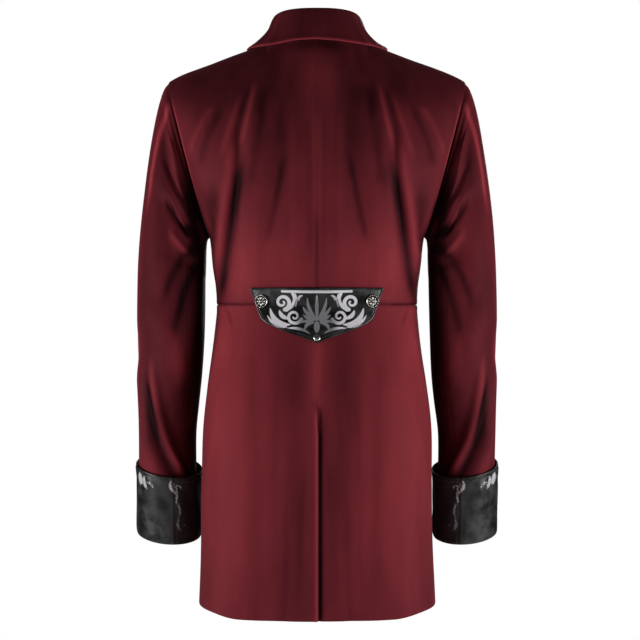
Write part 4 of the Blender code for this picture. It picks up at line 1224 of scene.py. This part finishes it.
def wall(name, outer, inner, finishes, closed=False, fields=None, round_rim=True):
    """A closed piece between two grids, joined round its border by a half-round rim.

    The rim's points lie on half circles between the outer and the inner border, bulging away from
    the grid's neighbouring row or column.
    """
    rows, columns = outer.shape[:2]
    size = rows * columns
    index = np.arange(size).reshape(rows, columns)
    if closed:
        borders = [(index[0], index[1]), (index[-1][::-1], index[-2][::-1])]
    else:
        loop = np.concatenate([index[0, :-1], index[:-1, -1], index[-1, :0:-1], index[:0:-1, 0]])
        r, c = np.divmod(loop, columns)
        near = np.clip(r, 1, rows - 2) * columns + np.clip(c, 1, columns - 2)
        borders = [(loop, near)]
    flat_outer, flat_inner = outer.reshape(-1, 3), inner.reshape(-1, 3)
    points = [flat_outer, flat_inner]
    quads = [quads_between(index, closed), quads_between(index, closed)[:, ::-1] + size]
    marks = [np.zeros(len(quads[0])), np.full(len(quads[1]), 1 if len(finishes) > 1 else 0)]
    values = {key: [grid.ravel(), grid.ravel()] for key, grid in (fields or {}).items()}
    count = 2 * size
    steps = RIM_STEPS if round_rim else 0
    for border, near in borders:
        middle = (flat_outer[border] + flat_inner[border]) / 2
        half = (flat_outer[border] - flat_inner[border]) / 2
        radius = np.linalg.norm(half, axis=-1, keepdims=True)
        away = flat_outer[border] - flat_outer[near]
        away = unit(away - unit(half) * np.sum(away * unit(half), axis=-1, keepdims=True))
        rings = [border]
        for k in range(1, steps + 1):
            turn = np.pi * k / (steps + 1)
            points.append(middle + half * np.cos(turn) + away * radius * np.sin(turn))
            rings.append(np.arange(count, count + len(border)))
            count += len(border)
            for key in values:
                values[key].append(values[key][0][border])
        rings.append(border + size)
        band = quads_between(np.array(rings), True)[:, ::-1]
        quads.append(band)
        marks.append(np.zeros(len(band)))
    points, quads, marks = np.concatenate(points), np.concatenate(quads), np.concatenate(marks)
    first = points[quads[: (rows - 1) * (columns - 1)]]
    facing = np.cross(first[:, 1] - first[:, 0], first[:, 2] - first[:, 0])
    outwards = flat_outer[quads[: len(facing), 0]] - flat_inner[quads[: len(facing), 0]]
    if np.sum(facing * outwards) < 0:
        quads = quads[:, ::-1]
    fields = {key: np.concatenate(parts) for key, parts in values.items()}
    return place_piece(name, grid_mesh(name, points, quads, marks, fields), finishes)


def new_finish(name, **values):
    """A new material, its tree, and its principled shader with the given plain values."""
    made = bpy.data.materials.new(name)
    made.use_nodes = True
    shader = made.node_tree.nodes["Principled BSDF"]
    for key, value in values.items():
        shader.inputs[key.replace("_", " ")].default_value = value
    return made, made.node_tree, shader


def add_node(tree, kind, **inputs):
    """A shader node with its plain settings and its input values."""
    node = tree.nodes.new(kind)
    for key, value in inputs.items():
        if hasattr(node, key):
            setattr(node, key, value)
        else:
            node.inputs[key.replace("_", " ")].default_value = value
    return node


def noise(tree, scale, detail, upright=1.0):
    """Noise on Object coordinates, drawn out up and down where its share of the scale there is under 1."""
    where = tree.nodes.new("ShaderNodeTexCoord")
    mapping = add_node(tree, "ShaderNodeMapping", Scale=(1.0, 1.0, upright))
    made = add_node(tree, "ShaderNodeTexNoise", Scale=scale, Detail=detail)
    tree.links.new(where.outputs["Object"], mapping.inputs["Vector"])
    tree.links.new(mapping.outputs["Vector"], made.inputs["Vector"])
    return made.outputs["Fac"]


def ramp(tree, value, low, high, to_low=0.0, to_high=1.0, shape="SMOOTHSTEP"):
    """Maps a value from one span to another, with an easy S unless told otherwise, and clamps it."""
    node = add_node(tree, "ShaderNodeMapRange", interpolation_type=shape)
    for key, number in (("From Min", low), ("From Max", high), ("To Min", to_low), ("To Max", to_high)):
        node.inputs[key].default_value = number
    tree.links.new(value, node.inputs["Value"])
    return node.outputs["Result"]


def combined(tree, first, second, operation="ADD"):
    """The sum of two values or sockets, or what another operation makes of them."""
    node = add_node(tree, "ShaderNodeMath", operation=operation)
    for socket, value in zip(node.inputs, (first, second)):
        if isinstance(value, float):
            socket.default_value = value
        else:
            tree.links.new(value, socket)
    return node.outputs[0]


def mixed(tree, factor, first, second):
    """Colour between two colours or sockets by a factor."""
    node = add_node(tree, "ShaderNodeMix", data_type="RGBA")
    tree.links.new(factor, node.inputs["Factor"])
    for key, value in (("A", first), ("B", second)):
        socket = next(s for s in node.inputs if s.name == key and s.type == "RGBA")
        if isinstance(value, tuple):
            socket.default_value = (*value, 1.0)
        else:
            tree.links.new(value, socket)
    return next(s for s in node.outputs if s.type == "RGBA")


def bumped(tree, shader, *layers):
    """Chains bump nodes on the shader's normal, each from (height, strength, distance)."""
    normal = None
    for height, strength, distance in layers:
        node = add_node(tree, "ShaderNodeBump", Strength=strength, Distance=distance)
        tree.links.new(height, node.inputs["Height"])
        if normal is not None:
            tree.links.new(normal, node.inputs["Normal"])
        normal = node.outputs["Normal"]
    tree.links.new(normal, shader.inputs["Normal"])


def attribute(tree, name):
    """A named vertex value, such as the tone with painted light and shade."""
    return add_node(tree, "ShaderNodeAttribute", attribute_name=name).outputs["Fac"]


def velvet_finish():
    """Wine velvet: from near-black painted shade through plum to rosy painted highlights, by a vertex value
    of tone with painted light and shade, with a random unevenness of tone.
    """
    made, tree, shader = new_finish(
        "wine_velvet", Roughness=0.50, Specular_IOR_Level=0.05, Specular_Tint=(1.0, 0.30, 0.34, 1.0),
        Sheen_Weight=0.12, Sheen_Roughness=0.32, Sheen_Tint=(0.95, 0.28, 0.33, 1.0),
    )
    # tone with painted light and shade from each vertex, with random unevenness of tone added below
    nap = attribute(tree, "nap")
    streaks = noise(tree, 34.0, 4.0, 0.22)
    clouds = noise(tree, 9.0, 2.0, 0.6)
    for uneven_by in (streaks, clouds):
        nap = combined(tree, nap, ramp(tree, uneven_by, *NOISE_SPAN, -TONE_UNEVENNESS, TONE_UNEVENNESS))
    dark = mixed(tree, ramp(tree, nap, 0.0, PLUM_LEVEL, shape="LINEAR"), SHADED_WINE, PLUM_WINE)
    colour = mixed(tree, ramp(tree, nap, PLUM_LEVEL, 1.0, shape="LINEAR"), dark, LIT_WINE)
    tree.links.new(colour, shader.inputs["Base Color"])
    pile = noise(tree, 1500.0, 2.0, 0.5)
    brushed = noise(tree, 110.0, 3.0, 0.35)
    bumped(tree, shader, (brushed, 0.30, 0.0006), (pile, 0.35, 0.0002))
    return made


def wrong_side_finish():
    """The knitted wrong side of the velvet: matt, greyer, with fine wales."""
    made, tree, shader = new_finish("velvet_wrong_side", Roughness=0.85, Specular_IOR_Level=0.2)
    wales = noise(tree, 900.0, 2.0, 0.15)
    tree.links.new(mixed(tree, wales, *WRONG_SIDE), shader.inputs["Base Color"])
    bumped(tree, shader, (wales, 0.4, 0.0003))
    return made


def leathercloth_finish():
    """Black leathercloth: glossy, finely grained and softly creased, with silver scrollwork printed on it."""
    made, tree, shader = new_finish("black_leathercloth", Specular_IOR_Level=0.55)
    where = tree.nodes.new("ShaderNodeTexCoord")
    grain = add_node(tree, "ShaderNodeTexVoronoi", Scale=1100.0)
    tree.links.new(where.outputs["Object"], grain.inputs["Vector"])
    creases = noise(tree, 130.0, 4.0, 0.7)
    smudges = noise(tree, 48.0, 3.0)
    shade = attribute(tree, "shade")
    black = mixed(tree, ramp(tree, smudges, 0.35, 0.7), *CLOTH_BLACK)
    black = mixed(tree, shade, black, SHADED_BLACK)
    silver = mixed(tree, attribute(tree, "tone"), *PRINTED_SILVER)
    printed = ramp(tree, attribute(tree, "print"), -PRINT_EDGE, PRINT_EDGE, 1.0, 0.0)
    tree.links.new(mixed(tree, printed, black, silver), shader.inputs["Base Color"])
    gloss = ramp(tree, smudges, *NOISE_SPAN, 0.24, 0.42)
    rough = combined(tree, gloss, combined(tree, shade, 0.35, "MULTIPLY"))
    tree.links.new(rough, shader.inputs["Roughness"])
    bumped(tree, shader, (creases, 0.55, 0.0012), (grain.outputs["Distance"], 0.25, 0.0002))
    return made


def silver_finish():
    """Old silver: bright on what stands up and almost black in the hollows."""
    made, tree, shader = new_finish("old_silver", Metallic=1.0)
    tarnish = noise(tree, 700.0, 3.0)
    relief = combined(tree, attribute(tree, "relief"), ramp(tree, tarnish, *NOISE_SPAN, -0.10, 0.10))
    tree.links.new(mixed(tree, ramp(tree, relief, 0.30, 0.62), *OLD_SILVER), shader.inputs["Base Color"])
    tree.links.new(ramp(tree, relief, 0.3, 0.7, 0.60, 0.24), shader.inputs["Roughness"])
    bumped(tree, shader, (tarnish, 0.15, 0.0002))
    return made


def thread_finish():
    """Black sewing thread with the twist of its strands."""
    made, tree, shader = new_finish("black_thread", Roughness=0.5)
    twist = noise(tree, 1800.0, 2.0)
    tree.links.new(mixed(tree, twist, *THREAD_BLACK), shader.inputs["Base Color"])
    bumped(tree, shader, (twist, 0.3, 0.0002))
    return made


def floor_finish():
    """A pale painted floor with a trace of mottling."""
    made, tree, shader = new_finish("pale_floor", Roughness=0.8)
    mottle = noise(tree, 6.0, 2.0)
    tree.links.new(mixed(tree, mottle, *FLOOR_PALE), shader.inputs["Base Color"])
    return made


def nap_of(points, level, patches, lines):
    """Tone with painted light and shade over a piece of the body: a level, and patches and lines of painted
    highlight and painted shade.
    """
    x, z = np.abs(points[..., 0]), points[..., 2]
    total = level + fold_height(lines, points)
    for p in patches:
        total += p.amount * bell(x - p.x, p.reach_x) * bell(z - p.z, p.reach_z)
    return total


def edge_nap(points, part, side):
    """Painted highlights along the armhole's edge, the shoulder seam and the vent's edge, and painted shade
    beside the vent.
    """
    x, z = points[..., 0], points[..., 2]
    if part == "skirt":
        below = smooth(*VENT_PAINT_START, VENT_TOP_Z - z)
        if side == "left":
            return VENT_EDGE_HIGHLIGHT * below * bell(edge_distance(points, "first"), VENT_EDGE_REACH)
        # painted shade in the groove beside the vent's edge
        return VENT_GAP_SHADE * below * bell(x - VENT_GAP_X, VENT_GAP_WIDTH)
    over_shoulder = smooth(*SHOULDER_HIGHLIGHT_SPAN, np.abs(x))
    seam = SHOULDER_HIGHLIGHT * over_shoulder * bell(edge_distance(points, "top"), SHOULDER_HIGHLIGHT_REACH)
    away = edge_distance(points, "last" if part == "back" else "first")
    down = smooth(*ARMHOLE_HIGHLIGHT_START, -z) * (1 - smooth(*ARMHOLE_HIGHLIGHT_END, -z))
    return seam + ARMHOLE_HIGHLIGHT * down * bell(away - ARMHOLE_HIGHLIGHT_PLACE, ARMHOLE_HIGHLIGHT_REACH)


def sleeve_nap(place, deg):
    """Tone with painted light and shade on the sleeve, with the same patches in front as behind."""
    turned = off_outer_line(deg)
    total = SLEEVE_LEVEL + sleeve_fold_height(place, turned, SLEEVE_PAINTED_LIGHT_LINES)
    beside_armhole = smooth(*HEAD_SHADE_START, turned) * (1 - smooth(*HEAD_SHADE_END, turned))
    total += HEAD_SHADE * bell(place, HEAD_SHADE_REACH) * beside_armhole
    for p in SLEEVE_PAINTED_LIGHT:
        total += p.amount * bell(place - p.place, p.reach_place) * bell(turned - p.deg, p.reach_deg)
    return total


def volute(x, z, radius, start_deg, turns, width):
    """A brush stroke that winds inwards about a middle and thins out: (x, z, half width) arrays."""
    t = np.linspace(0, 1, STROKE_POINTS)
    angle = np.radians(start_deg) + 2 * np.pi * turns * t
    r = radius * (1 - VOLUTE_WINDING * t)
    return x + r * np.cos(angle), z + r * np.sin(angle), width * (1 - VOLUTE_THINNING * t) / 2


def leaf(start, end, bow, width):
    """A brush stroke from point to point that bows to one side and swells in its middle."""
    t = np.linspace(0, 1, 40)
    line = np.subtract(end, start)
    side = np.array((-line[1], line[0]))
    middle = bow * 4 * t * (1 - t)
    x = start[0] + line[0] * t + side[0] * middle
    z = start[1] + line[1] * t + side[1] * middle
    return x, z, width * np.sin(np.pi * (0.06 + 0.90 * t)) ** 0.8 / 2


def stroke_distance(a, b, strokes):
    """Distance from each chart point to the nearest brush stroke, negative inside it."""
    best = np.full(a.shape, 1.0)
    for x, z, half in strokes:
        d = np.hypot(a[..., None] - x, b[..., None] - z) - half
        best = np.minimum(best, d.min(axis=-1))
    return best


def stem(points, width):
    """A brush stroke of even width through a few points, smoothed into a curve."""
    knots = np.array(points, float)
    index = np.arange(len(knots), dtype=float)
    at = np.linspace(0, index[-1], STROKE_POINTS)
    return curve(index, knots[:, 0], at), curve(index, knots[:, 1], at), np.full(len(at), width / 2)


def tab_strokes():
    """Scrollwork of the tab's left half: a palmette, broad scrolls with sprays, and a band at the top."""
    strokes = [leaf(*row) for row in TAB_LEAVES]
    strokes += [volute(*row) for row in TAB_VOLUTES]
    strokes += [stem(*row) for row in TAB_STEMS]
    x, z = PALMETTE_FOOT
    for deg, reach in PALMETTE_PETALS:
        turn = np.radians(deg)
        tip = (x + reach * np.sin(turn), z + PALMETTE_LIFT + reach * np.cos(turn))
        strokes.append(leaf(PALMETTE_FOOT, tip, PETAL_BOW if deg else 0.0, PETAL_WIDTH))
    return strokes


def cuff_strokes():
    """Brushed wisps and wavering lines, in metres round and down."""
    strokes = []
    for w in CUFF_WISPS:
        strokes.append(leaf((w.round, w.top), (w.round + WISP_SLANT, w.top + w.length), WISP_BOW, w.width))
        start, end = ((w.round + across, w.top + down) for across, down in SMALL_WISP)
        strokes.append(leaf(start, end, SMALL_WISP_BOW, SMALL_WISP_SHARE * w.width))
    for middle in CUFF_LINES:
        strokes.append(stem([(middle + off, down) for off, down in WAVERING], WAVERING_WIDTH))
    return strokes


def frame_at(normal):
    """Two directions in the plane across a level normal: sideways and up."""
    side = unit(np.cross((0.0, 0.0, 1.0), normal))
    return side, np.cross(normal, side)


def disc_grid(count):
    """A square grid pressed into a disc of radius 1, with no pole: (x, y) arrays."""
    u, v = np.meshgrid(np.linspace(-1, 1, count), np.linspace(-1, 1, count), indexing="ij")
    return u * np.sqrt(1 - v * v / 2), v * np.sqrt(1 - u * u / 2)


def rosette(x, y):
    """Height of an openwork button: a beaded rim, eight petals round a boss, and hollows between."""
    r, angle = np.hypot(x, y), np.arctan2(y, x)
    rim = bell(r - RIM_AT, 0.085) * (0.92 + 0.08 * np.cos(BEADS * angle))
    petals = np.abs(np.cos(PETALS / 2 * angle)) ** 0.7 * smooth(*PETAL_ROOT, r) * (1 - smooth(*PETAL_TIP, r))
    ring = 0.75 * bell(r - RING_AT, 0.05)
    boss = 1 - smooth(*BOSS_EDGE, r)
    relief = np.maximum.reduce([rim, 0.9 * petals, ring, boss])
    return (0.30 + 0.70 * relief) * np.sqrt((1 - r**6).clip(0)), relief


def dome(x, y):
    """Height of a stud: a round dome on a thin foot."""
    r = np.hypot(x, y)
    relief = np.sqrt((1 - (r / 1.02) ** 2).clip(0))
    return 0.15 + 0.85 * relief, 0.4 + 0.6 * relief


def button(name, node, shape, place, normal, radius, height, finish):
    """A metal button: its height over a disc is a function of the place on the disc."""
    x, y = disc_grid(BUTTON_GRID)
    side, up = frame_at(normal)
    rise, relief = shape(x, y)
    flat = place + radius * (x[..., None] * side + y[..., None] * up)
    top = flat + (BUTTON_FOOT + height * rise)[..., None] * normal
    made = wall(name, top, flat, [finish], fields={"relief": relief}, round_rim=False)
    finish_piece(made, "old_silver", node)


def stitches(name, line, normals, finish):
    """A row of stitches along a line: each is a thin spindle that dips into the cloth at its ends."""
    steps = np.linalg.norm(np.diff(line, axis=0), axis=-1)
    reach = np.concatenate([[0], np.cumsum(steps)])
    count = int(reach[-1] / (STITCH_LENGTH + STITCH_GAP))
    starts = np.arange(count) * (reach[-1] / count)
    t = np.linspace(0, 1, 6)
    at = starts[:, None] + STITCH_LENGTH * t[None, :]
    centre = np.stack([np.interp(at, reach, line[:, k]) for k in range(3)], -1)
    out = unit(np.stack([np.interp(at, reach, normals[:, k]) for k in range(3)], -1))
    side = unit(np.cross(out, unit(np.gradient(centre, axis=1))))
    swell = np.sin(np.pi * (0.08 + 0.84 * t))[None, :, None]
    centre = centre + out * (swell - STITCH_DIP) * STITCH_RADIUS * STITCH_ARCH
    turn = np.linspace(0, 2 * np.pi, 6, endpoint=False)[:, None]
    spoke = np.cos(turn) * side[:, :, None] + np.sin(turn) * out[:, :, None]
    points = (centre[:, :, None] + STITCH_RADIUS * swell[..., None] * spoke).reshape(-1, 3)
    index = np.arange(len(points)).reshape(count, len(t), len(turn))
    around = np.roll(index, -1, axis=2)
    quads = [np.stack([index[:, :-1], around[:, :-1], around[:, 1:], index[:, 1:]], -1).reshape(-1, 4)]
    for ring, order in ((index[:, 0], [0, 3, 2, 1]), (index[:, -1], [0, 1, 2, 3])):
        quads += [half[:, order] for half in (ring[:, [0, 1, 2, 3]], ring[:, [3, 4, 5, 0]])]
    quads = np.concatenate(quads)
    made = place_piece(name, grid_mesh(name, points, quads, np.zeros(len(quads)), {}), [finish])
    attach(made, "root")


def finish_piece(made, slot, *nodes):
    """Rides on the coat's body and stands for its node or nodes."""
    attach(made, "root")
    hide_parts(*nodes)


def cut_piece(made, nodes, slot):
    """Rides on the coat's body and stands for its nodes."""
    finish_piece(made, slot, *nodes)


def velvet_wall(name, outer, normals, edges, side, finishes, nap):
    """A velvet piece: its seamed edges are drawn in by half the seam and the rim's own radius."""
    inner = outer - normals * VELVET
    outer, inner = drawn_in(outer, edges, SEAM_DRAW), drawn_in(inner, edges, SEAM_DRAW)
    if side == "right":
        outer, inner, nap = mirrored(outer), mirrored(inner), nap[:, ::-1]
    # the piece carries its tone with painted light and shade as a vertex value
    return wall(name, outer, inner, finishes, fields={"nap": nap})


def make_body(finishes):
    """Backs, fronts and skirts of both sides. Returns the left front for its buttons."""
    for side in ("left", "right"):
        pieces = bodice(side)
        pieces["skirt"] = skirt(side)
        for part, (outer, normals) in pieces.items():
            # tone with painted light and shade over the piece, and painted highlights and shade at its edges
            nap = nap_of(outer, *PAINTED_LIGHT_TABLES[part]) + edge_nap(outer, part, side)
            name = f"velvet_{part}_{side}"
            made = velvet_wall(name, outer, normals, SEAMED_EDGES[part], side, finishes, nap)
            cut_piece(made, [f"{part}_{side}"], "wine_velvet")
        if side == "left":
            left_front = pieces["front"]
    return left_front


def make_sleeve(side, finishes):
    """A top sleeve and an under sleeve, each one piece in place of its node's two halves."""
    # the third grids hold the sleeve's tone with painted light and shade
    outer, normals, nap = (sleeve_pieces(grid) for grid in sleeve(side))
    for part in outer:
        name = f"velvet_{part}_{side}"
        edges = SEAMED_EDGES[part]
        made = velvet_wall(name, outer[part], normals[part], edges, side, finishes, nap[part])
        nodes = [f"{end}_{part}_{side}" for end in ("upper", "lower")]
        cut_piece(made, nodes, "wine_velvet")


def cuff_fields(middle):
    """The cuff's print, its silver's tone and its shade, from metres round and down its surface."""
    down = edge_distance(middle, "top")
    around = edge_distance(np.concatenate([middle, middle[:, :1]], axis=1), "first")
    around, length = around[:, :-1], around[:, -1:]
    around = np.where(around > length / 2, around - length, around)
    ragged = np.sin(around * 900 + 3 * np.sin(down * 240)) * np.sin(down * 620 + around * 300)
    inner_half = smooth(*CUFF_SHADE_DEG, off_outer_line(degrees_round(CUFF_AROUND)))
    return {
        "print": CUFF_SOFTNESS * (stroke_distance(around, down, cuff_strokes()) + PRINT_RAGGED * ragged),
        "tone": CUFF_TONE - CUFF_TONE_FALL * down,
        "shade": np.broadcast_to(inner_half, down.shape),
    }


def make_cuff(side, black, thread):
    """A turned-back cuff and the row of stitches round it."""
    middle, out = cuff(side)
    shown, hidden = middle + out * BLACK_CLOTH / 2, middle - out * BLACK_CLOTH / 2
    fields = cuff_fields(middle)
    row = np.argmin(np.abs(edge_distance(middle, "top")[:, 0] - CUFF_STITCH_INSET))
    line, line_out = (np.concatenate([grid[row], grid[row, :1]]) for grid in (shown, out))
    if side == "right":
        shown, hidden = mirrored(shown), mirrored(hidden)
        fields = {key: grid[:, ::-1] for key, grid in fields.items()}
        line, line_out = line * MIRROR, line_out * MIRROR
    made = wall(f"leathercloth_cuff_{side}", shown, hidden, [black], closed=True, fields=fields)
    cut_piece(made, [f"cuff_{side}"], "black_leather")
    stitches(f"stitches_cuff_{side}", line, line_out, thread)


def make_collar(velvet):
    """The collar, with painted highlights on its edge and fold, a painted highlight patch on each side and a
    painted shade patch behind.
    """
    middle, at, deg = collar()
    normals = normals_of(middle)
    press = COLLAR_PRESS * bell(at - PRESS_PLACE, PRESS_REACH)
    outer = shifted(middle, normals, VELVET / 2 + press)
    # painted highlights along the fall's edge and the fold, and a painted highlight patch and a painted shade
    # patch on the fall
    along_profile = COLLAR_LEVEL + COLLAR_EDGE_HIGHLIGHT * bell(at - COLLAR_PLACES[-1], COLLAR_EDGE_WIDTH)
    along_profile += COLLAR_FOLD_HIGHLIGHT * bell(at - COLLAR_PLACES[3], COLLAR_FOLD_WIDTH)
    patch = COLLAR_PATCH * bell(np.abs(deg) - COLLAR_PATCH_DEG, COLLAR_PATCH_WIDTH_DEG)
    shade = COLLAR_SHADE * bell(deg - COLLAR_SHADE_DEG, COLLAR_SHADE_WIDTH_DEG)
    nap = along_profile + patch * smooth(*COLLAR_PATCH_SPAN, at) + shade * smooth(*COLLAR_SHADE_SPAN, at)
    made = wall("velvet_collar", outer, middle - normals * VELVET / 2, [velvet], fields={"nap": nap})
    cut_piece(made, ["collar"], "wine_velvet")


def make_tab(black, thread, silver):
    """The back tab with its rolled edge and print, its stitches, two buttons and the stud."""
    x, z = tab_chart()
    surface, normals = back_surface(x, z)
    under = shifted(surface, normals, TAB_GAP)
    edge = np.minimum.reduce([edge_distance(under, e) for e in ("top", "bottom", "first", "last")])
    pad = TAB_ROLL * bell(edge - TAB_ROLL_INSET, TAB_ROLL_WIDTH)
    pad -= TAB_PRESS * bell(edge - TAB_STITCH_INSET, TAB_PRESS_WIDTH)
    outer = shifted(under, normals, BLACK_CLOTH + pad)
    tone = TAB_TONE + (1 - TAB_TONE) * smooth(*TAB_TONE_SIDE, np.abs(x))
    tone += TAB_TONE_BAND * smooth(*TAB_TONE_TOP, z)
    fields = {"print": stroke_distance(np.abs(x), z, tab_strokes()), "tone": tone}
    made = wall("leathercloth_tab", outer, under, [black], fields=fields)
    cut_piece(made, ["back_tab"], "black_leather")

    lower, upper = (np.stack([x[row], z[row]], -1) for row in (-1, 0))
    outline = np.concatenate([lower, upper[-2::-1], lower[:1]])
    ahead = unit(np.gradient(outline, axis=0))
    inset = outline + TAB_STITCH_INSET * np.stack([-ahead[:, 1], ahead[:, 0]], -1)
    place, out = back_surface(inset[:, 0], inset[:, 1])
    stitches("stitches_tab", shifted(place, out, TAB_GAP + BLACK_CLOTH), out, thread)

    seat = TAB_GAP + BLACK_CLOTH + BUTTON_GAP
    size = (BUTTON_RADIUS, BUTTON_HEIGHT)
    for side, button_x in (("left", TAB_BUTTON_X), ("right", -TAB_BUTTON_X)):
        place, out = back_surface(button_x, TAB_BUTTON_Z)
        place = place + out * (seat + TAB_BUTTON_LIFT)
        name = f"tab_button_{side}"
        button(f"metal_{name}", name, rosette, place, out, *size, silver)
    place, out = back_surface(0.0, STUD_Z)
    button("metal_tab_stud", "tab_stud", dome, place + out * seat, out, STUD_RADIUS, STUD_HEIGHT, silver)


def make_front_buttons(front, silver):
    """Buttons down the middle of the lapped front, standing on its outer side."""
    outer, normals = front
    middle = np.argmin(np.abs(outer[-1, :, 0]))
    line, out = outer[::-1, middle], normals[::-1, middle]
    for number, z in enumerate(FRONT_BUTTON_Z, 1):
        place, normal = (
            np.array([np.interp(z, line[:, 2], values[:, k]) for k in range(3)]) for values in (line, out)
        )
        normal = unit(normal)
        seat = place + normal * (BUTTON_GAP + FRONT_BUTTON_LIFT)
        name = f"front_button_{number}"
        button(f"metal_{name}", name, rosette, seat, normal, BUTTON_RADIUS, BUTTON_HEIGHT, silver)


def area_light(light):
    """A soft rectangular light turned towards its aim."""
    data = bpy.data.lights.new(light.name, "AREA")
    data.shape = "RECTANGLE"
    data.size, data.size_y = light.width, light.height
    data.energy = light.power
    made = bpy.data.objects.new(light.name, data)
    made.location = light.place
    made.rotation_mode = "QUATERNION"
    made.rotation_quaternion = (Vector(light.aim) - Vector(light.place)).to_track_quat("-Z", "Z")
    bpy.context.scene.collection.objects.link(made)


def make_surround():
    """White where the camera sees it, and only a weak light on the coat."""
    world = bpy.data.worlds.new("pale_surround")
    bpy.context.scene.world = world
    world.use_nodes = True
    tree = world.node_tree
    tree.nodes.clear()
    seen = add_node(tree, "ShaderNodeBackground", Color=(1, 1, 1, 1), Strength=1.0)
    cast = add_node(tree, "ShaderNodeBackground", Color=(1, 1, 1, 1), Strength=SURROUND_LIGHT)
    rays = tree.nodes.new("ShaderNodeLightPath")
    choose = tree.nodes.new("ShaderNodeMixShader")
    output = tree.nodes.new("ShaderNodeOutputWorld")
    tree.links.new(rays.outputs["Is Camera Ray"], choose.inputs["Fac"])
    tree.links.new(cast.outputs[0], choose.inputs[1])
    tree.links.new(seen.outputs[0], choose.inputs[2])
    tree.links.new(choose.outputs[0], output.inputs["Surface"])


def make_studio():
    """A pale floor under the coat, tall soft lights on both sides, weak fills and a pale surround."""
    angle = np.linspace(0, 2 * np.pi, FLOOR_POINTS, endpoint=False)
    level = np.full(FLOOR_POINTS, FLOOR_Z)
    points = np.stack([FLOOR_RADIUS * np.cos(angle), FLOOR_RADIUS * np.sin(angle), level], -1)
    mesh = bpy.data.meshes.new("floor")
    mesh.from_pydata(points.tolist(), [], [list(range(FLOOR_POINTS))])
    place_piece("floor", mesh, [floor_finish()])
    for light in LIGHTS:
        area_light(light)
    make_surround()
    bpy.context.scene.view_settings.view_transform = "Standard"


def make_camera():
    """Level with the coat's middle, straight behind it, as in the photograph."""
    data = bpy.data.cameras.new("camera")
    data.lens = LENS_MM
    data.sensor_width = SENSOR_MM
    made = bpy.data.objects.new("camera", data)
    made.location = CAMERA_PLACE
    made.rotation_euler = (np.pi / 2, 0, np.pi)
    bpy.context.scene.collection.objects.link(made)
    bpy.context.scene.camera = made


def main():
    make_camera()
    make_studio()
    velvet, wrong_side = velvet_finish(), wrong_side_finish()
    black, silver, thread = leathercloth_finish(), silver_finish(), thread_finish()
    left_front = make_body([velvet, wrong_side])
    for side in ("left", "right"):
        make_sleeve(side, [velvet, wrong_side])
        make_cuff(side, black, thread)
    make_collar(velvet)
    make_tab(black, thread, silver)
    make_front_buttons(left_front, silver)


main()
